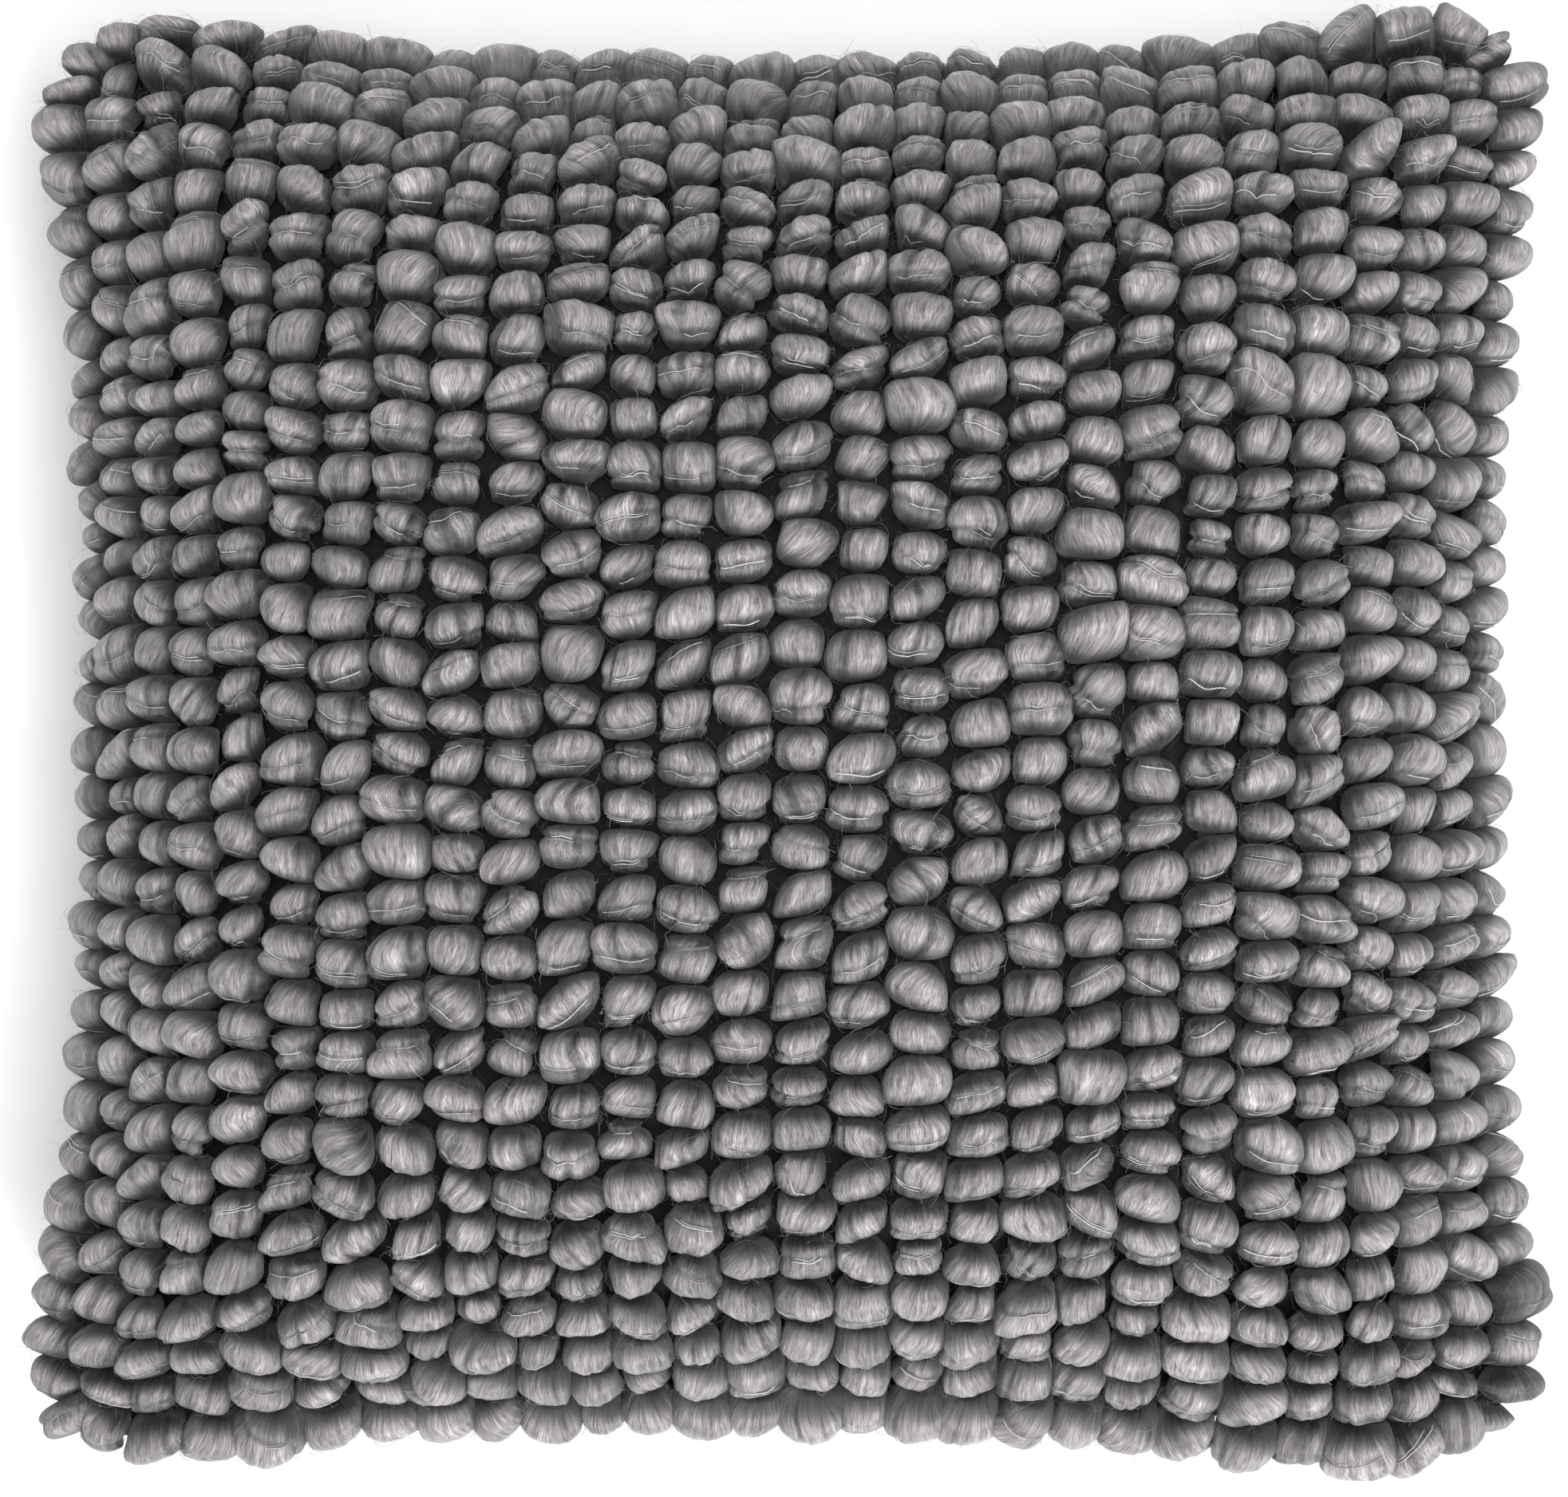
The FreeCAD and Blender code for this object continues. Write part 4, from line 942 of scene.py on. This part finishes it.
# ---------------- threads over the loops
def thread_tubes(name, lines, radius, material, sides=6):
    """Thin tubes through rows of points, each with its own tone; lines is (count, steps, 3)."""
    lines = np.asarray(lines, float)
    count, steps = lines.shape[:2]
    ahead = unit(np.gradient(lines, axis=1))
    side = unit(np.cross(ahead, np.array([0.31, 0.17, 0.93])))
    up = np.cross(side, ahead)
    turns = (np.arange(sides) / sides * 2 * math.pi)[:, None]
    ring = side[:, :, None] * np.cos(turns) + up[:, :, None] * np.sin(turns)
    verts = lines[:, :, None] + ring * np.broadcast_to(radius, (count, steps))[:, :, None, None]
    walls = tube_faces(steps, sides)
    block = steps * sides
    walls = (walls[None] + (np.arange(count) * block)[:, None, None]).reshape(-1, 4)
    fan = np.stack([np.zeros(sides - 2, int), np.arange(1, sides - 1), np.arange(2, sides)], -1)
    low = (fan[:, ::-1][None] + (np.arange(count) * block)[:, None, None]).reshape(-1, 3)
    high = (fan[None] + (np.arange(count) * block + block - sides)[:, None, None]).reshape(-1, 3)
    piece = new_piece(name, verts, [walls[:, ::-1], low[:, ::-1], high[:, ::-1]])
    own_tone = np.random.default_rng(count).uniform(0.30, 1.0, count)
    point_value(piece, "tone", np.repeat(own_tone, block))
    dress(piece, material)
    return piece


def sample_loop(chosen, where_y, where_turn):
    """Points on the pressed loops' surface at ring places and turns, with the direction outward."""
    at_ring = np.interp(where_y, ring_place, np.arange(RINGS))
    at_side = np.interp(where_turn, side_turn, np.arange(AROUND))
    i, j = np.floor(at_ring).astype(int), np.floor(at_side).astype(int)
    i, j = np.clip(i, 0, RINGS - 2), np.clip(j, 0, AROUND - 2)
    a, b = (at_ring - i)[..., None], (at_side - j)[..., None]
    own = points[chosen[0], chosen[1]]
    pick = np.arange(len(own))[:, None]
    here, beside = own[pick, i, j], own[pick, i, j + 1]
    ahead, across = own[pick, i + 1, j], own[pick, i + 1, j + 1]
    spot = (here * (1 - a) + ahead * a) * (1 - b) + (beside * (1 - a) + across * a) * b
    return spot, unit(np.cross(beside - here, ahead - here))


LEAST_DEEP = 0.5   # millimetres; shallower ties have no thread
TIE_STEPS = 18
END_DEEP = 0.9 * MM   # how far a binding thread's ends go into the loop
tie_along = np.linspace(-1, 1, TIE_STEPS)[None, :]


def lying_thread(loops, where_y, where_turn, stand):
    """Lines that lie across chosen loops, with their ends drawn in."""
    spot, out = sample_loop(loops, np.clip(where_y, -0.95, 0.95), where_turn)
    return spot + out * (stand - END_DEEP * tie_along ** 4)[..., None]


chosen = np.nonzero(tie_shown & (tie_deep > LEAST_DEEP))
tie_count = len(chosen[0])
reach_turn = rng.uniform(0.65, 1.30, tie_count)
sway_wide = rng.normal(0, 0.035, (tie_count, 1))
tie_sway = sway_wide * np.sin(np.linspace(0, 9, TIE_STEPS)[None, :] + rng.uniform(0, 6, (tie_count, 1)))
tie_turns = tie_along * reach_turn[:, None] + rng.uniform(-0.25, 0.25, tie_count)[:, None]
tie_x = np.sin(tie_turns) * 0.95
tie_y = tie_place[chosen][:, None] + tie_smile[chosen][:, None] * tie_x ** 2 \
    + tie_slant[chosen][:, None] * tie_x + tie_sway
tie_radius = rng.uniform(0.15, 0.25, tie_count)[:, None] * MM

# some of the threads are doubled by a thinner one just above
doubled = rng.random(tie_count) < 0.45
twin_turns = tie_turns[doubled] * rng.uniform(0.55, 0.95, (doubled.sum(), 1))
twin_rise = rng.uniform(0.06, 0.13, (doubled.sum(), 1)) \
    + rng.normal(0, 0.05, (doubled.sum(), 1)) * np.sin(twin_turns)
twin = tuple(index[doubled] for index in chosen)
tie_lines = np.concatenate([lying_thread(chosen, tie_y, tie_turns, 0.20 * MM),
                            lying_thread(twin, tie_y[doubled] + twin_rise, twin_turns, 0.16 * MM)])
tie_radius = np.concatenate([tie_radius, tie_radius[doubled] * 0.8])
silver = thread_look("binder_thread", (0.24, 0.235, 0.23), (0.66, 0.65, 0.64), 0.42, True)
binder_piece = thread_tubes("binding_threads", tie_lines, tie_radius, silver, sides=5)
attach(binder_piece, BODY)
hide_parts("binder_threads")


# ---------------- loose fibres
NEAR_ZIP = -170 * MM   # past this along Y
HAIR_ROOM = ZIP_ROOM + 1.2 * MM   # the lowest that hairs near the zip may reach


def loose_fibres(count, generator, low, high, fly_far, turn_spread, off_axis, steps=7):
    """Fine bent hairs that stand low to high mm off the loops, near off_axis round from their tops."""
    at = (generator.integers(0, COLUMNS, count), generator.integers(0, ROWS, count))
    travel = np.linspace(0, 1, steps)[None, :]
    start_y = generator.uniform(-0.8, 0.8, (count, 1))
    start_turn = generator.normal(0, turn_spread, (count, 1)) \
        + off_axis * np.where(generator.random((count, 1)) < 0.5, -1, 1)
    go_y = generator.normal(0, 0.55, (count, 1))
    go_turn = generator.normal(0, 0.6, (count, 1))
    spot, out = sample_loop(at, np.clip(start_y + go_y * travel, -0.95, 0.95),
                            np.clip(start_turn + go_turn * travel, -2.4, 2.4))
    stand = generator.uniform(low, high, (count, 1)) * MM
    leave = np.sin(travel * math.pi * generator.uniform(0.5, 1.0, (count, 1)))
    far = generator.uniform(0, fly_far, (count, 1)) * MM * travel ** 2
    fly = unit(generator.normal(size=(count, 3)))[:, None] * far[..., None]
    wave = np.sin(travel * generator.uniform(3, 9, (count, 1))) * generator.uniform(0.1, 0.9, (count, 1)) * MM
    curl = unit(generator.normal(size=(count, 3)))[:, None] * wave[..., None]
    hair = spot + out * (stand * leave)[..., None] + fly + curl
    near_zip = hair[..., 1].min(axis=1) < NEAR_ZIP
    hair[..., 2] += (near_zip * np.maximum(HAIR_ROOM - hair[..., 2].min(axis=1), 0))[:, None]
    return hair


# one fibre in four tones: its own colour over the loops, and painted shade on the copies round the loops,
# between them and deepest in the gaps
top_hair = thread_look("loose_fibre", (0.14, 0.133, 0.133), (0.60, 0.575, 0.575), 0.5, True)
shaded_gap_hair = thread_look("shaded_gap_fibre", (0.04, 0.038, 0.038), (0.25, 0.238, 0.238), 0.6, True)
deep_shaded_hair = thread_look("deep_shaded_fibre", (0.020, 0.0175, 0.0165), (0.110, 0.100, 0.097), 0.7, True)
half_shaded_rim_hair = thread_look("half_shaded_rim_fibre", (0.07, 0.066, 0.066), (0.36, 0.345, 0.343), 0.6, True)
HAIR_SHARE = 1.0
# settings: low, high, fly_far, turn_spread and off_axis
for name, count, material, settings in (
        ("loose_fibres_over_loops", 4600, top_hair, (0.2, 1.6, 5.0, 0.7, 0.0)),
        ("loose_fibres_between_loops", 5200, shaded_gap_hair, (0.3, 2.4, 6.0, 0.35, 1.45)),
        ("loose_fibres_round_loops", 5200, half_shaded_rim_hair, (0.2, 1.3, 3.2, 0.30, 1.10)),
        ("loose_fibres_in_gaps", 5200, deep_shaded_hair, (0.4, 2.2, 5.0, 0.35, 1.75))):
    hairs = loose_fibres(int(count * HAIR_SHARE), rng, *settings)
    hair_radius = rng.uniform(0.024, 0.060, (len(hairs), 1)) * MM
    fibre_piece = thread_tubes(name, hairs, hair_radius, material, sides=3)
    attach(fibre_piece, BODY)

# ---------------- CAD pieces that keep their shape
enamel = solid_look("dark_enamel", (0.020, 0.020, 0.021), (0.050, 0.050, 0.052), 0.42, 0.25)
nylon = solid_look("nylon_coil", (0.020, 0.020, 0.021), (0.060, 0.060, 0.062), 0.42, 0.0)
sewing = thread_look("sewing_thread", (0.05, 0.05, 0.05), (0.16, 0.16, 0.16), 0.6)
satin = solid_look("label_satin", (0.70, 0.70, 0.69), (0.84, 0.84, 0.83), 0.45, 0.0, 1500.0, 0.03)
tape = solid_look("zip_tape_weave", (0.030, 0.030, 0.031), (0.105, 0.103, 0.103), 0.85, 0.0, 1800.0, 0.12)
looks = {
    "zip_slider": enamel, "zip_pull": enamel, "zip_top_stop_front": enamel, "zip_top_stop_back": enamel,
    "zip_bottom_stop": enamel, "zip_coil_front": nylon, "zip_coil_back": nylon, "zip_tape_front": tape,
    "zip_tape_back": tape, "cover_seam_thread": sewing, "insert_seam_thread": sewing, "care_label": satin,
}
for node, material in looks.items():
    dress(bpy.data.objects[node], material)

# ---------------- floor, light and camera
FLOOR_HALF = 1.7
GLOW_START, GLOW_FULL, GLOW = 0.42, 1.5, 0.9   # the far floor brightens between these distances
floor_corners = [(x * FLOOR_HALF, y * FLOOR_HALF, 0) for x, y in ((-1, -1), (1, -1), (1, 1), (-1, 1))]
floor = new_piece("studio_floor", floor_corners, np.array([[0, 1, 2, 3]]), False)
floor_look = Look("pale_floor", {"Base Color": (0.82, 0.82, 0.82, 1), "Roughness": 0.9,
                                "Specular IOR Level": 0.1, "Emission Color": (1, 1, 1, 1)})
floor_place = floor_look.add("ShaderNodeTexCoord", out="Object")
floor_away = floor_look.add("ShaderNodeVectorMath", {0: floor_place}, out=1, operation="LENGTH")
glow_range = {0: floor_away, 1: GLOW_START, 2: GLOW_FULL, 3: 0.0, 4: GLOW}
floor_glow = floor_look.add("ShaderNodeMapRange", glow_range)
floor_look.fill(floor_look.shader, {"Emission Strength": floor_glow})
dress(floor, floor_look.material)

scene = bpy.context.scene
world = bpy.data.worlds.new("studio")
scene.world = world
world.use_nodes = True
sky = world.node_tree.nodes
toward_sky = sky.new("ShaderNodeTexCoord")
sky_height = sky.new("ShaderNodeSeparateXYZ")
sky_strength = sky.new("ShaderNodeMapRange")
for number, value in enumerate((0.22, 0.42, 1.0, 0.40), 1):   # heights, then strengths there
    sky_strength.inputs[number].default_value = value
sky["Background"].inputs[0].default_value = (0.97, 0.98, 1.0, 1)
world.node_tree.links.new(toward_sky.outputs["Generated"], sky_height.inputs[0])
world.node_tree.links.new(sky_height.outputs[2], sky_strength.inputs[0])
world.node_tree.links.new(sky_strength.outputs[0], sky["Background"].inputs[1])


def soft_light(name, place, aim, side, power):
    """A square area light that points at a place."""
    lamp = bpy.data.lights.new(name, "AREA")
    lamp.shape = "SQUARE"
    lamp.size = side
    lamp.energy = power
    holder = bpy.data.objects.new(name, lamp)
    holder.location = place
    holder.rotation_euler = (Vector(aim) - Vector(place)).to_track_quat("-Z", "Y").to_euler()
    scene.collection.objects.link(holder)


soft_light("key_light", (0.8, -1.7, 1.7), (0, 0, 0.05), 1.0, 60)
soft_light("overhead_light", (0.25, 0.35, 2.5), (0, 0, 0.05), 1.8, 65)

camera_data = bpy.data.cameras.new("camera")
camera = bpy.data.objects.new("camera", camera_data)
scene.collection.objects.link(camera)
camera_place = Vector((0.080, -0.020, 1.72))
camera_aim = Vector((-0.001, -0.002, 0.06))
camera.location = camera_place
back_way = (camera_place - camera_aim).normalized()
right_way = Vector((0, 1, 0)).cross(back_way).normalized()
up_way = back_way.cross(right_way)
camera.rotation_euler = Matrix((right_way, up_way, back_way)).transposed().to_euler()
camera_data.sensor_width = 36
camera_data.lens = 114
scene.camera = camera
scene.view_settings.view_transform = "Standard"
